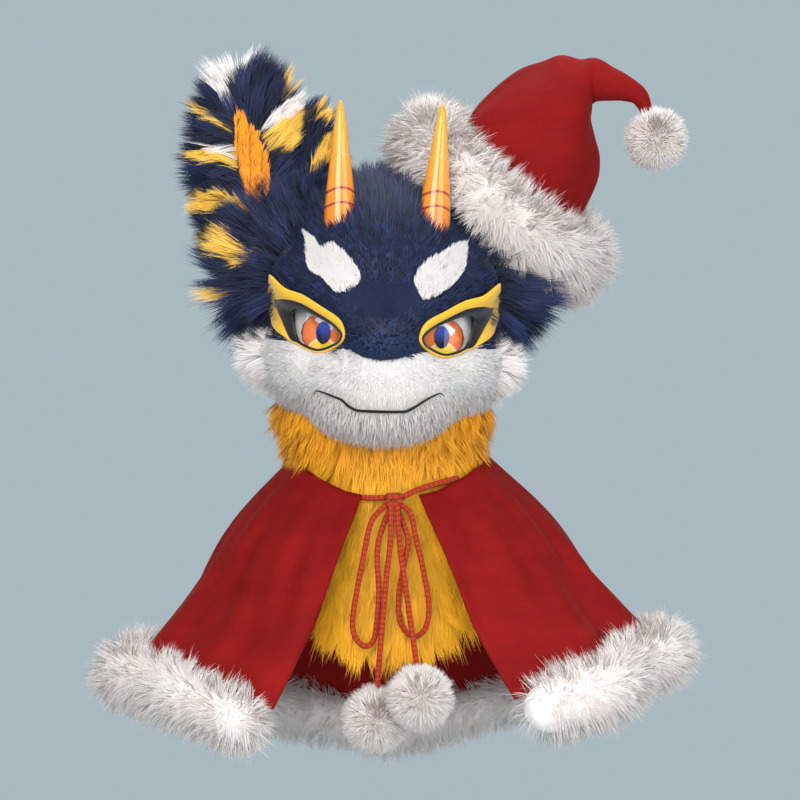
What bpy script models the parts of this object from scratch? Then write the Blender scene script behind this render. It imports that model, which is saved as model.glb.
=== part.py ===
"""A horned fur costume head, worn with a fur-trimmed cape and a soft hat.

Units are metres, +Z is up and the costume faces -Y. The origin is the middle of the neck, where
the cape's neckline rests. Left and right are the wearer's own, so right is at -X.
"""

import math

import bmesh
import bpy
import numpy as np

# Driving sizes, read at 1.1 mm to a pixel of the photograph
GAP = 0.0004
HEAD_ROLL = math.radians(2.2)
HEAD_SHIFT = -0.0085
HEAD_CENTRE = (0.0, -0.010, 0.190)
FOAM_WALL = 0.018
FUR_SKIN = 0.006
NECK_RIM_ELEVATION = -54.0
HEAD_COLUMNS = 26
WHITE_REACH = 105.0
JAW_REACH = 34.0
CLOTH = 0.002
CORD_DIAMETER = 0.006
CORD_STEP = 0.0165
POMPOM_RADIUS = 0.030

SIDES = (("right", -1), ("left", 1))

# Base colour and roughness of each stuff
STUFFS = {
    "navy_fur": (0.012, 0.022, 0.085, 0.80),
    "white_fur": (0.80, 0.77, 0.74, 0.90),
    "yellow_fur": (0.86, 0.47, 0.03, 0.85),
    "orange_fur": (0.90, 0.30, 0.01, 0.85),
    "red_velvet": (0.32, 0.012, 0.014, 0.70),
    "red_cord": (0.50, 0.035, 0.020, 0.75),
    "horn_resin": (0.90, 0.33, 0.01, 0.18),
    "foam": (0.05, 0.05, 0.055, 0.95),
    "black_felt": (0.01, 0.01, 0.012, 0.90),
    "yellow_felt": (0.88, 0.50, 0.04, 0.90),
    "eye_shell": (0.62, 0.60, 0.60, 0.35),
    "iris_print": (0.70, 0.16, 0.03, 0.40),
    "pupil_print": (0.05, 0.07, 0.30, 0.40),
}

# Egg shapes that blend into the head: middle x, y, z, then radius x, y, z. One with an x is made on
# both sides
HEAD_LUMPS = (
    (0.000, 0.020, 0.222, 0.136, 0.146, 0.114),
    (0.000, -0.062, 0.236, 0.098, 0.068, 0.070),
    (0.074, -0.048, 0.140, 0.058, 0.072, 0.052),
    (0.000, -0.104, 0.116, 0.086, 0.070, 0.046),
    (0.000, -0.150, 0.158, 0.034, 0.030, 0.019),
    (0.000, -0.088, 0.089, 0.066, 0.074, 0.034),
    (0.000, 0.030, 0.130, 0.100, 0.100, 0.068),
)
# Rolls of foam over the eyes: start x, y, z, end x, y, z, radius. Each is made on both sides
BROW_ROLLS = ((0.030, -0.136, 0.182, 0.100, -0.086, 0.228, 0.017),)
LUMP_BLEND = 0.010

# Elevation seen from the head's centre, in degrees, at each azimuth from the front
AZIMUTHS = (0, 8, 15, 24, 34, 45, 60, 80, 110, 140, 180)
WHITE_TOP = (-16.5, -15.5, -14.5, -15.5, -15.0, -12.0, -10.0, -8.5, -14.0, -20.0, -22.0)
MOUTH = (-33.5, -33.6, -30.8, -29.4, -30.5, -32.0, -34.0, -35.0, -36.0, -38.0, -38.0)

# Front outlines on the face, in millimetres sideways from its middle and up from the origin
EYE_OPENING = ((97, 199), (89, 200), (72, 190), (56, 180), (44, 170), (40.5, 164),
               (44, 157), (56, 150), (72, 149), (87, 157), (94, 171))
LINER_EDGE = ((106, 212), (96, 209), (77, 201), (61, 191), (47, 180), (40, 170), (36.5, 163),
              (42, 153), (56, 146), (72, 144.5), (90, 151.5), (99, 166), (105, 190))
OUTLINE_EDGE = ((121, 230), (98, 218), (82, 211), (66, 201), (52, 190), (43, 180), (37, 170),
                (97, 153), (104, 160), (114, 185), (121, 215))
BROW_PATCH = ((84, 268), (70, 259), (55, 261), (36, 250), (26, 236), (27, 220),
              (37, 210), (50, 213), (64, 226), (78, 247))
NOSE_PAD = ((0, 175), (13, 171), (25, 163), (34, 155), (31, 149), (19, 143), (0, 140),
            (-19, 143), (-31, 149), (-34, 155), (-25, 163), (-13, 171))
IRIS = ((64, 168), 23, 21)
PUPIL = ((63, 168), 8, 12)
# Layers of the eye: how far under the fur's surface each starts, and its thickness
EYE_LAYERS = (("eye_white", -0.0130, 0.0030), ("iris", -0.0116, 0.0010), ("pupil", -0.0102, 0.0010))

# Horn: distance from its foot, radius
HORN_PROFILE = ((-0.030, 0.0190), (0.0, 0.0185), (0.036, 0.0165), (0.073, 0.0130), (0.076, 0.0112),
                (0.100, 0.0082), (0.122, 0.0048), (0.134, 0.0018))

# Fur clumps: x, y, z, half width, half thickness
EAR = ((-0.112, 0.004, 0.215, 0.040, 0.030), (-0.118, 0.004, 0.246, 0.050, 0.033),
       (-0.124, 0.003, 0.277, 0.058, 0.034), (-0.131, 0.002, 0.306, 0.061, 0.033),
       (-0.137, 0.001, 0.334, 0.059, 0.031), (-0.142, 0.000, 0.361, 0.054, 0.028),
       (-0.147, -0.001, 0.387, 0.047, 0.025), (-0.153, -0.002, 0.411, 0.038, 0.021),
       (-0.160, -0.003, 0.433, 0.028, 0.017), (-0.168, -0.004, 0.453, 0.017, 0.012),
       (-0.175, -0.005, 0.468, 0.007, 0.007))
EAR_LOBE = ((-0.078, 0.010, 0.290, 0.026, 0.028), (-0.080, 0.008, 0.318, 0.027, 0.027),
            (-0.079, 0.006, 0.345, 0.025, 0.024), (-0.078, 0.004, 0.370, 0.022, 0.020),
            (-0.077, 0.002, 0.393, 0.017, 0.016), (-0.076, 0.001, 0.413, 0.011, 0.011),
            (-0.075, 0.000, 0.428, 0.005, 0.005))
HIDDEN_EAR = ((0.0900, 0.0390, 0.2750, 0.046, 0.040), (0.1080, 0.0330, 0.3000, 0.046, 0.040),
              (0.1260, 0.0270, 0.3220, 0.042, 0.036), (0.1430, 0.0220, 0.3430, 0.035, 0.031),
              (0.1590, 0.0170, 0.3620, 0.027, 0.024), (0.1730, 0.0130, 0.3790, 0.017, 0.016),
              (0.1830, 0.0100, 0.3920, 0.006, 0.006))
CHEEK_TUFT = ((0.080, 0.000, 0.236, 0.076, 0.046), (0.100, 0.000, 0.234, 0.076, 0.050),
              (0.120, 0.001, 0.231, 0.072, 0.053), (0.138, 0.005, 0.227, 0.064, 0.055),
              (0.155, 0.006, 0.222, 0.053, 0.047), (0.171, 0.008, 0.216, 0.041, 0.037),
              (0.186, 0.010, 0.210, 0.028, 0.026), (0.198, 0.012, 0.205, 0.014, 0.014))
CHEEK_FLUFF = ((0.070, -0.040, 0.140, 0.030, 0.046), (0.092, -0.037, 0.141, 0.031, 0.046),
               (0.112, -0.034, 0.142, 0.029, 0.042), (0.130, -0.031, 0.143, 0.025, 0.036),
               (0.146, -0.028, 0.144, 0.019, 0.028), (0.160, -0.026, 0.146, 0.012, 0.019),
               (0.171, -0.025, 0.148, 0.005, 0.009))

# Colour patches on the ear and the cheek: stuff, then the front outline in millimetres
EAR_PATCHES = {
    "ear_stripe": ("orange_fur", ((-160, 424), (-146, 402), (-131, 372), (-124, 345), (-126, 318),
                                  (-141, 292), (-153, 296), (-156, 330), (-158, 360), (-161, 392))),
    "ear_patch_low": ("yellow_fur", ((-220, 330), (-190, 324), (-160, 306), (-160, 293), (-190, 300),
                                     (-216, 312))),
    "ear_patch_mid": ("yellow_fur", ((-220, 382), (-192, 374), (-165, 362), (-165, 348), (-190, 356),
                                     (-216, 366))),
    "ear_patch_high": ("yellow_fur", ((-138, 398), (-118, 414), (-92, 436), (-84, 420), (-104, 396),
                                      (-122, 384))),
}
EAR_TIP = ("white_fur", ((-230, 500), (-230, 446), (-195, 432), (-172, 438), (-150, 452),
                         (-130, 500)))
CHEEK_PATCH = ("yellow_fur", ((-212, 252), (-190, 262), (-164, 254), (-150, 238), (-170, 228),
                              (-200, 238)))

# Hat: middle of the band's ring, its axis, then the way that it runs in the photograph
HAT_RING = (0.1296, 0.0450, 0.3210)
HAT_AXIS = (0.626, -0.208, 0.753)
HAT_SIDE = (0.770, 0.000, -0.640)
BAND_REACH = (0.108, 0.096)
BAND_SIZE = (0.032, 0.037)
BAND_RINGS = 22
# Hat's path: x, y, z, half width, half depth
HAT_PATH = ((0.1221, 0.0475, 0.3120, 0.078, 0.066), (0.1371, 0.0425, 0.3300, 0.078, 0.066),
            (0.1546, 0.0367, 0.3511, 0.077, 0.066), (0.1734, 0.0350, 0.3945, 0.064, 0.062),
            (0.1898, 0.0340, 0.4297, 0.050, 0.050), (0.2075, 0.0340, 0.4518, 0.036, 0.037),
            (0.2283, 0.0340, 0.4585, 0.024, 0.026), (0.2504, 0.0340, 0.4540, 0.014, 0.017),
            (0.2698, 0.0340, 0.4450, 0.0095, 0.012), (0.2848, 0.0340, 0.4330, 0.0075, 0.0085),
            (0.2933, 0.0340, 0.4200, 0.0065, 0.0070))
HAT_HOLLOW_ROWS = 7
HAT_POMPOM = (0.3008, 0.0340, 0.3890)

# Cape: heights of the neckline and the hem at each azimuth from the front, and the two ellipses
CAPE_AZIMUTHS = (0, 27, 60, 90, 135, 180)
NECKLINE_Z = (-0.008, 0.002, 0.026, 0.038, 0.043, 0.045)
HEM_Z = (-0.218, -0.216, -0.180, -0.164, -0.213, -0.268)
NECKLINE = (0.0065, 0.004, 0.107, 0.110)
HEM = (0.0130, 0.000, 0.274, 0.218)
HEM_TILT = 0.04
CAPE_OPENING = (16.5, 27.0)
CAPE_ROWS = (0.0, 0.12, 0.28, 0.48, 0.74, 1.0)
CAPE_COLUMNS = 39
FOLD_DEPTH = 0.013
TRIM_START = 31.0
TRIM_RINGS = 32
TRIM_OFFSET = (0.013, -0.018)
TRIM_SIZE = (0.033, 0.033)

# Neck fur: height, half width, half depth, lock size
NECK_ROWS = ((0.100, 0.119, 0.104, 0.006), (0.084, 0.116, 0.102, 0.010), (0.066, 0.108, 0.096, 0.010),
             (0.044, 0.106, 0.087, 0.004), (0.020, 0.104, 0.083, 0.004), (0.000, 0.088, 0.086, 0.005),
             (-0.030, 0.094, 0.094, 0.006), (-0.065, 0.105, 0.105, 0.008), (-0.102, 0.116, 0.113, 0.009),
             (-0.140, 0.124, 0.119, 0.010), (-0.172, 0.127, 0.121, 0.010))
NECK_COLUMNS = 24
NECK_MIDDLE = 0.0065
NECK_BACK_ROWS = 6
BIB_REACH = 62.0
BIB_CURVE = 0.22
NECK_WALL = 0.008

# Cord routes: x, y, z in millimetres
KNOT = ((10.0, -109, -8.0), (10.5, 8.5, 10.0))
CORDS = {
    "neck_tie_right": ((-66, -71, 6), (-46, -86.5, 0), (-24, -95.5, -5), (0.6, -108, -5.0)),
    "neck_tie_left": ((78, -71, 15), (58, -86.5, 10), (37, -95.5, 4), (19.4, -108, -4)),
    "bow_loop_right": ((1.5, -110.5, -12.5), (-14, -116, -31), (-23.5, -124, -74), (-33, -135, -128),
                       (-31, -137, -150), (-20, -138, -160), (-10, -136, -150), (-6, -132, -105),
                       (-7.5, -122, -60), (-0.5, -114, -32), (6, -106.5, -17)),
    "bow_loop_left": ((18.5, -110.5, -12.5), (28, -115, -22), (33, -118, -46), (41, -125, -80),
                      (47, -132, -118), (43, -135, -142), (31, -136, -150), (18, -134, -138),
                      (15, -130, -112), (19, -125, -84), (25, -119, -52), (20, -113, -32),
                      (14, -106.5, -17)),
    "tie_end_right": ((6.8, -117, -13), (6.5, -125, -48), (2, -133, -90), (-2.5, -143, -140),
                      (-6, -147, -185), (-7.5, -148, -212)),
    "tie_end_left": ((13.4, -117, -13), (16.5, -127, -56), (22, -137, -95), (28, -150, -138),
                     (33, -166, -170), (35.2, -174, -187.5)),
}
POMPOMS = {"pompom_right": (-9.5, -148, -236), "pompom_left": (37.5, -182, -210)}


def clear_scene():
    for obj in list(bpy.data.objects):
        bpy.data.objects.remove(obj)


def make_material(name, stuff):
    red, green, blue, roughness = STUFFS[stuff]
    material = bpy.data.materials.new(f"{name}_{stuff}")
    material.use_nodes = True
    shader = material.node_tree.nodes["Principled BSDF"]
    shader.inputs["Base Color"].default_value = (red, green, blue, 1.0)
    shader.inputs["Roughness"].default_value = roughness
    return material


def new_mesh_object(name, points, faces, stuff=None, parent=None):
    """A mesh object with outward faces. Without a stuff it is a cutter that isn't built."""
    mesh = bpy.data.meshes.new(name)
    mesh.from_pydata([tuple(map(float, point)) for point in points], [], faces)
    shaped = bmesh.new()
    shaped.from_mesh(mesh)
    bmesh.ops.recalc_face_normals(shaped, faces=shaped.faces)
    shaped.to_mesh(mesh)
    shaped.free()
    obj = bpy.data.objects.new(name, mesh)
    bpy.context.scene.collection.objects.link(obj)
    obj.parent = parent
    if stuff:
        mesh.materials.append(make_material(name, stuff))
        mesh.shade_smooth()
        mesh.set_sharp_from_angle(angle=math.radians(40))
    else:
        obj.hide_render = True
        obj.display_type = "WIRE"
    return obj


def boolean(obj, operation, other):
    modifier = obj.modifiers.new(operation.lower(), "BOOLEAN")
    modifier.operation = operation
    modifier.object = other
    return obj


def unit(vectors):
    return vectors / np.linalg.norm(vectors, axis=-1, keepdims=True)


def ring_faces(first, second, count, lean=0):
    """Triangles between two closed rings of points. Lean 1 splits the cells along the other diagonal."""
    faces = []
    for i in range(count):
        a, b = first + i, first + (i + 1) % count
        c, d = second + (i + 1) % count, second + i
        faces += [(a, b, d), (b, c, d)] if lean == 1 else [(a, b, c), (a, c, d)]
    return faces


def cap_faces(centre, ring, count):
    return [(centre, ring + i, ring + (i + 1) % count) for i in range(count)]


def thick_skin(name, outer, inner, cells, stuff, parent=None):
    """A closed wall between two layers of points, over the given triangles of the outer layer."""
    edges = {edge: True for cell in cells for edge in zip(cell, cell[1:] + cell[:1])}
    used = sorted({corner for cell in cells for corner in cell})
    place = {corner: n for n, corner in enumerate(used)}
    count = len(used)
    faces = [tuple(place[c] for c in cell) for cell in cells]
    faces += [tuple(place[c] + count for c in reversed(cell)) for cell in cells]
    for start, end in edges:
        if (end, start) not in edges:
            a, b = place[start], place[end]
            faces += [(b, a, a + count), (b, a + count, b + count)]
    return new_mesh_object(name, np.vstack([outer[used], inner[used]]), faces, stuff, parent)


def grid_cells(rows, columns, around, chosen=None):
    """Triangles over a grid of points, closed around or not, with only the chosen cells."""
    cells = []
    for k in range(rows - 1):
        for i in range(columns if around else columns - 1):
            if chosen is None or chosen[k, i]:
                a, b = k * columns + i, k * columns + (i + 1) % columns
                cells += [(a, b, b + columns), (a, b + columns, a + columns)]
    return cells


def shaggy_tube(name, table, sides, lock, stuff=None, parent=None, side=1, up=(0, -1, 0),
                looped=False, outside=None, ends=(0.0, 1.0), lean=1.6, grow=0.0, seed=1):
    """A tube of fur locks along a table of x, y, z and two half sizes.

    Every second ring is a row of lock tips, pushed out and leaned along the tube. Outside keeps the
    locks to the part that faces that way, ends is how far the two caps stand out, lean is how far a
    lock points along, and grow makes the same tube a little fatter.
    """
    table = np.array(table, float)
    table[:, 0] *= side
    path = table[:, :3]
    if looped:
        tangent = unit(np.roll(path, -1, axis=0) - np.roll(path, 1, axis=0))
    else:
        tangent = unit(np.gradient(path, axis=0))
        path = path + tangent * (np.linspace(0, 1, len(path)) * grow)[:, None]
    across = unit(np.cross(tangent, np.broadcast_to(up, path.shape)))
    lift = np.cross(across, tangent)
    random = np.random.default_rng(seed)
    points = []
    for k in range(len(path)):
        turn = 2 * np.pi * (np.arange(sides) + 0.5 * (k % 2)) / sides
        wide, high = np.cos(turn)[:, None] * across[k], np.sin(turn)[:, None] * lift[k]
        size = wide * table[k, 3] + high * table[k, 4]
        push = np.where(np.arange(sides) % 2, 0.15, 1.0) * (0.6 + 0.4 * random.random(sides))
        slim = min(1.0, 1.6 * table[k, 3:].min() / table[:, 3:].min(axis=1).max())
        push = push * (k % 2) * lock * slim * (looped or 0 < k < len(path) - 1)
        if outside is not None:
            push = push * np.clip(0.35 + (wide + high) @ unit(outside[k]), 0, 1)
        points.append(path[k] + size + (wide + high) * (push + grow)[:, None]
                      + tangent[k] * push[:, None] * lean)
    count = len(path)
    faces = []
    for k in range(count if looped else count - 1):
        faces += ring_faces(k * sides, (k + 1) % count * sides, sides, lean=1 - k % 2)
    points = np.vstack(points)
    if not looped:
        reach = table[[0, -1], 3:].mean(axis=1) * ends
        points = np.vstack([points, path[0] - tangent[0] * reach[0], path[-1] + tangent[-1] * reach[1]])
        faces += cap_faces(len(points) - 2, 0, sides)
        faces += cap_faces(len(points) - 1, (count - 1) * sides, sides)
    return new_mesh_object(name, points, faces, stuff, parent)


def prism(name, outline, depth, parent=None, side=1, grow=0.0):
    """A cutting block along Y between two depths, with a front outline of (sideways, height) in mm."""
    corners = np.array(outline, float) / 1000
    before, after = np.roll(corners, 1, axis=0), np.roll(corners, -1, axis=0)
    run = unit(corners - before) + unit(after - corners)
    normal = unit(np.stack([run[:, 1], -run[:, 0]], axis=1))
    area = (corners[:, 0] * after[:, 1] - after[:, 0] * corners[:, 1]).sum()
    corners = corners + normal * grow * np.sign(area)
    ring = [(side * x, y, z) for y in depth for x, z in corners]
    count = len(corners)
    faces = [tuple(range(count)), tuple(range(count, 2 * count))]
    return new_mesh_object(name, ring, faces + ring_faces(0, count, count), parent=parent)


def ellipse_outline(middle, reach, height, count=14):
    turn = 2 * np.pi * np.arange(count) / count
    return [(middle[0] + reach * math.cos(t), middle[1] + height * math.sin(t)) for t in turn]


# The head's surface

def egg_distance(points, middle, radii):
    """About how far points are outside an ellipsoid."""
    local = points - np.array(middle)
    near = np.linalg.norm(local / np.array(radii), axis=-1)
    slope = np.linalg.norm(local / np.array(radii) ** 2, axis=-1)
    return near * (near - 1) / np.maximum(slope, 1e-9)


def roll_distance(points, start, end, radius):
    """How far points are outside a straight roll with round ends."""
    start, along = np.array(start), np.array(end) - np.array(start)
    share = np.clip((points - start) @ along / (along @ along), 0, 1)
    return np.linalg.norm(points - start - share[..., None] * along, axis=-1) - radius


def head_field(points):
    """All the lumps of the head blended into one distance."""
    found = []
    for x, y, z, *radii in HEAD_LUMPS:
        for side in (1, -1) if x else (1,):
            found.append(egg_distance(points, (side * x, y, z), radii))
    for x0, y0, z0, x1, y1, z1, radius in BROW_ROLLS:
        for side in (1, -1):
            found.append(roll_distance(points, (side * x0, y0, z0), (side * x1, y1, z1), radius))
    return -LUMP_BLEND * np.log(np.exp(-np.array(found) / LUMP_BLEND).sum(axis=0))


def direction(azimuth, elevation):
    """Unit vectors from angles in degrees. Azimuth 0 is the front, and grows towards +X."""
    a, e = np.radians(azimuth), np.radians(elevation)
    return np.stack([np.sin(a) * np.cos(e), -np.cos(a) * np.cos(e), np.sin(e) + 0 * a], axis=-1)


def head_radius(directions):
    """How far the head's surface is from its centre along each direction, by halving."""
    low = np.full(directions.shape[:-1], 0.03)
    high = np.full(directions.shape[:-1], 0.32)
    for _ in range(30):
        middle = (low + high) / 2
        outside = head_field(np.array(HEAD_CENTRE) + middle[..., None] * directions) > 0
        high = np.where(outside, middle, high)
        low = np.where(outside, low, middle)
    return (low + high) / 2


def head_grid():
    """Azimuths of the columns, elevations of all rows, and the rows of the white edge and the mouth."""
    share = np.arange(HEAD_COLUMNS) / HEAD_COLUMNS
    azimuth = np.degrees(2 * np.pi * share - 0.5 * np.sin(2 * np.pi * share))
    turned = np.minimum(azimuth, 360 - azimuth)
    white = np.interp(turned, AZIMUTHS, WHITE_TOP)
    mouth = np.interp(turned, AZIMUTHS, MOUTH)
    rows = [90 + (white - 90) * k / 7 for k in range(1, 8)]
    rows += [white + (mouth - white) * k / 3 for k in range(1, 4)]
    rows += [mouth + (NECK_RIM_ELEVATION - mouth) * k / 2 for k in range(1, 3)]
    return azimuth, np.array(rows), 6, 9


def head_points(directions, radii, offset):
    return np.array(HEAD_CENTRE) + (radii + offset)[..., None] * directions


def head_shell(name, offset, depth, grid, radii, stuff=None, parent=None):
    """The head's outside grown by offset: a hollow shell of that depth, or one block to cut with."""
    azimuth, rows = grid[:2]
    directions = direction(azimuth[None, :], rows)
    count, last = len(rows) * HEAD_COLUMNS, (len(rows) - 1) * HEAD_COLUMNS
    layers = [head_points(directions, radii[1:], grow).reshape(-1, 3)
              for grow in ((offset, offset - depth) if depth else (offset,))]
    tops = [np.array(HEAD_CENTRE) + (0, 0, radii[0, 0] + grow)
            for grow in ((offset, offset - depth) if depth else (offset,))]
    points = np.vstack(layers + tops)
    faces = []
    for layer in range(len(layers)):
        faces += cap_faces(len(layers) * count + layer, layer * count, HEAD_COLUMNS)
        for k in range(len(rows) - 1):
            start = layer * count + k * HEAD_COLUMNS
            faces += ring_faces(start, start + HEAD_COLUMNS, HEAD_COLUMNS)
    if depth:
        faces += ring_faces(last, count + last, HEAD_COLUMNS)
    else:
        points = np.vstack([points, points[last:count].mean(axis=0)])
        faces += cap_faces(len(points) - 1, last, HEAD_COLUMNS)
    return new_mesh_object(name, points, faces, stuff, parent)


def fur_cover(name, chosen, stuff, parent, grid, radii):
    """A fur skin over the chosen cells of the head's grid. Its edge is drawn in by a small seam gap."""
    azimuth, rows = grid[:2]
    directions = np.concatenate([direction(azimuth[None, :] * 0, np.full((1, HEAD_COLUMNS), 90.0)),
                                 direction(azimuth[None, :], rows)])
    outer = head_points(directions, radii, 0.0).reshape(-1, 3)
    inner = head_points(directions, radii, -FUR_SKIN).reshape(-1, 3)
    cells = grid_cells(len(rows) + 1, HEAD_COLUMNS, True, chosen)
    first = [cell for cell in cells if cell[0] < HEAD_COLUMNS and cell[1] < HEAD_COLUMNS]
    cells = [tuple(0 if c < HEAD_COLUMNS else c for c in cell) for cell in cells if cell not in first]
    edges = {edge: True for cell in cells for edge in zip(cell, cell[1:] + cell[:1])}
    middles = {corner: [] for edge in edges if edge[::-1] not in edges for corner in edge}
    for cell in cells:
        for corner in set(cell).intersection(middles):
            middles[corner].append(outer[list(cell)].mean(axis=0))
    for corner, found in middles.items():
        pull = unit(np.mean(found, axis=0) - outer[corner]) * 1.5 * GAP
        outer[corner] += pull
        inner[corner] += pull
    return thick_skin(name, outer, inner, cells, stuff, parent)


def solid_prism(name, outline, stuff, parent, side=1):
    """A prism that is built, not a cutter."""
    piece = prism(name, outline, (-0.24, -0.03), parent, side)
    piece.hide_render = False
    piece.display_type = "TEXTURED"
    piece.data.materials.append(make_material(name, stuff))
    return piece


def face_plate(name, outline, blocks, stuff, parent, side=1, top="patch", holes=()):
    """A flat piece of the outline's shape that lies on the face, as thick as between two head blocks."""
    piece = solid_prism(name, outline, stuff, parent, side)
    boolean(piece, "INTERSECT", blocks[top])
    boolean(piece, "DIFFERENCE", blocks["skin"])
    for hole in holes:
        boolean(piece, "DIFFERENCE", hole)
    return piece


def build_head(parent):
    """The foam, the three fur skins and the blocks that cut whatever sits on the head."""
    grid = head_grid()
    azimuth, rows, white_row, mouth_row = grid
    all_rows = np.vstack([np.full(HEAD_COLUMNS, 90.0), rows])
    radii = head_radius(direction(azimuth[None, :], all_rows))
    radii[0] = radii[0].mean()
    foam = head_shell("head_foam", -FUR_SKIN - 2 * GAP, FOAM_WALL, grid, radii, "foam", parent)
    row, column = np.indices((len(rows), HEAD_COLUMNS))
    turned = np.minimum(azimuth, 360 - azimuth)
    reach = np.maximum(turned, np.roll(turned, -1))[column]
    white = (row > white_row) & (reach < WHITE_REACH)
    jaw = (row > mouth_row) & (reach < JAW_REACH)
    covers = [
        fur_cover("face_fur", ~white, "navy_fur", parent, grid, radii),
        fur_cover("muzzle_fur", white & ~jaw, "white_fur", parent, grid, radii),
        fur_cover("jaw_fur", jaw, "white_fur", parent, grid, radii),
    ]
    blocks = {
        "skin": head_shell("skin_block", GAP, 0, grid, radii, parent=parent),
        "seam": head_shell("seam_block", 0.0022, 0, grid, radii, parent=parent),
        "patch": head_shell("patch_block", 0.0040, 0, grid, radii, parent=parent),
    }
    for name, offset, depth in EYE_LAYERS:
        blocks[name] = head_shell(f"{name}_block", offset, depth, grid, radii, parent=parent)
    for label, side in SIDES:
        hole = prism(f"eye_hole_{label}", EYE_OPENING, (-0.24, -0.03), parent, side, grow=0.0012)
        for piece in [foam, *covers[:2]]:
            boolean(piece, "DIFFERENCE", hole)
    return grid, radii, blocks


def mouth_outline(grid, radii, thickness=1.6):
    """Front outline of the seam along the mouth row, in millimetres."""
    azimuth, rows, _, mouth_row = grid
    turned = np.where(azimuth > 180, azimuth - 360, azimuth)
    order = [i for i in np.argsort(turned) if abs(turned[i]) < JAW_REACH - 3]
    spots = head_points(direction(azimuth[order], rows[mouth_row][order]),
                        radii[mouth_row + 1][order], 0.0) * 1000
    top = [(x, z + thickness) for x, _, z in spots]
    return top + [(x, z - thickness) for x, _, z in reversed(spots)]


def build_face(parent, grid, radii, blocks):
    """Eyes, brow patches, nose and mouth seam."""
    for label, side in SIDES:
        opening = prism(f"opening_{label}", EYE_OPENING, (-0.25, -0.01), parent, side, grow=0.0009)
        liner = prism(f"liner_{label}", LINER_EDGE, (-0.25, -0.01), parent, side, grow=GAP)
        face_plate(f"eye_liner_{label}", LINER_EDGE, blocks, "black_felt", parent, side, holes=[opening])
        face_plate(f"eye_outline_{label}", OUTLINE_EDGE, blocks, "yellow_felt", parent, side,
                   holes=[liner])
        face_plate(f"brow_patch_{label}", BROW_PATCH, blocks, "white_fur", parent, side)
        for name, outline, stuff in (("eye_white", EYE_OPENING, "eye_shell"),
                                     ("iris", ellipse_outline(*IRIS), "iris_print"),
                                     ("pupil", ellipse_outline(*PUPIL), "pupil_print")):
            piece = solid_prism(f"{name}_{label}", outline, stuff, parent, side)
            boolean(piece, "INTERSECT", blocks[name])
            if name == "iris":
                boolean(piece, "INTERSECT", opening)
    face_plate("nose_pad", NOSE_PAD, blocks, "navy_fur", parent)
    face_plate("mouth_seam", mouth_outline(grid, radii), blocks, "black_felt", parent, top="seam")


def horn_solid(name, side, stuff, parent, grow=0.0):
    """A horn with a step two thirds of the way up."""
    foot = np.array((side * 0.050, -0.086, 0.285))
    axis = unit(np.array((side * 0.005, 0.006, 0.134)))
    table = [(*(foot + axis * along), radius + grow, radius + grow) for along, radius in HORN_PROFILE]
    return shaggy_tube(name, table, 14, 0.0, stuff, parent, ends=(0.0, 0.5))


def build_horns(parent, blocks):
    """The two resin horns, cut off at the head's fur. Gives back the block of the left one."""
    for label, side in SIDES:
        horn = horn_solid(f"horn_{label}", side, "horn_resin", parent)
        boolean(horn, "DIFFERENCE", blocks["skin"])
        block = horn_solid(f"horn_block_{label}", side, None, parent, 2 * GAP)
    return block


def build_pair(name, stuff, parent=None, **sizes):
    """A fur tube and a slightly fatter copy that cuts its neighbours."""
    piece = shaggy_tube(name, stuff=stuff, parent=parent, **sizes)
    return piece, shaggy_tube(f"{name}_block", parent=parent, grow=3 * GAP, **sizes)


def cut_all(pieces, *cutters):
    for piece in pieces:
        for cutter in cutters:
            boolean(piece, "DIFFERENCE", cutter)


def patches_on(clump, patches, parent, depth, **sizes):
    """Splits coloured patches off a fur clump by their front outlines, and gives back all the pieces."""
    pieces = [clump]
    for name, (stuff, outline) in patches.items():
        block = prism(f"{name}_block", outline, (-0.2, depth + GAP), parent, grow=GAP)
        cutter = prism(f"{name}_cut", outline, (-0.2, depth), parent)
        patch = shaggy_tube(name, stuff=stuff, parent=parent, **sizes)
        boolean(patch, "INTERSECT", cutter)
        boolean(clump, "DIFFERENCE", block)
        pieces.append(patch)
    return pieces


def build_ears(parent, blocks):
    """The tall ear with its coloured patches, its small lobe, and the plain ear under the hat."""
    sizes = dict(table=EAR, sides=14, lock=0.009, lean=2.2, seed=3)
    ear, ear_block = build_pair("ear_right", "navy_fur", parent, **sizes)
    pieces = patches_on(ear, EAR_PATCHES, parent, -0.006, **sizes)
    patches_on(ear, {"ear_tip": EAR_TIP}, parent, 0.2, **sizes)
    cut_all(pieces, blocks["skin"])
    lobe, lobe_block = build_pair("ear_lobe", "navy_fur", parent, table=EAR_LOBE, sides=12,
                                  lock=0.007, seed=5)
    sizes = dict(table=HIDDEN_EAR, sides=10, lock=0.003, seed=6)
    hidden, hidden_block = build_pair("ear_left", "navy_fur", parent, **sizes)
    cut_all([lobe], ear_block, blocks["skin"])
    cut_all([hidden], blocks["skin"])
    return {"right": [ear_block, lobe_block], "left": [hidden_block]}


def build_cheeks(parent, blocks, near):
    """Navy tufts at the sides of the head and white tufts under them."""
    for label, side in SIDES:
        sizes = dict(table=CHEEK_TUFT, sides=12, lock=0.013, side=side, seed=14 + side)
        tuft, tuft_block = build_pair(f"cheek_tuft_{label}", "navy_fur", parent, **sizes)
        pieces = [tuft]
        beside_eye = prism(f"beside_eye_{label}", OUTLINE_EDGE, (-0.25, -0.01), parent, side,
                           grow=2 * GAP)
        if side < 0:
            pieces = patches_on(tuft, {"cheek_patch": CHEEK_PATCH}, parent, -0.02, **sizes)
        cut_all(pieces, blocks["skin"], beside_eye, *near[label])
        sizes = dict(table=CHEEK_FLUFF, sides=10, lock=0.007, side=side, seed=22 + side)
        fluff = shaggy_tube(f"cheek_fluff_{label}", stuff="white_fur", parent=parent, **sizes)
        cut_all([fluff], tuft_block, blocks["skin"])


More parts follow.
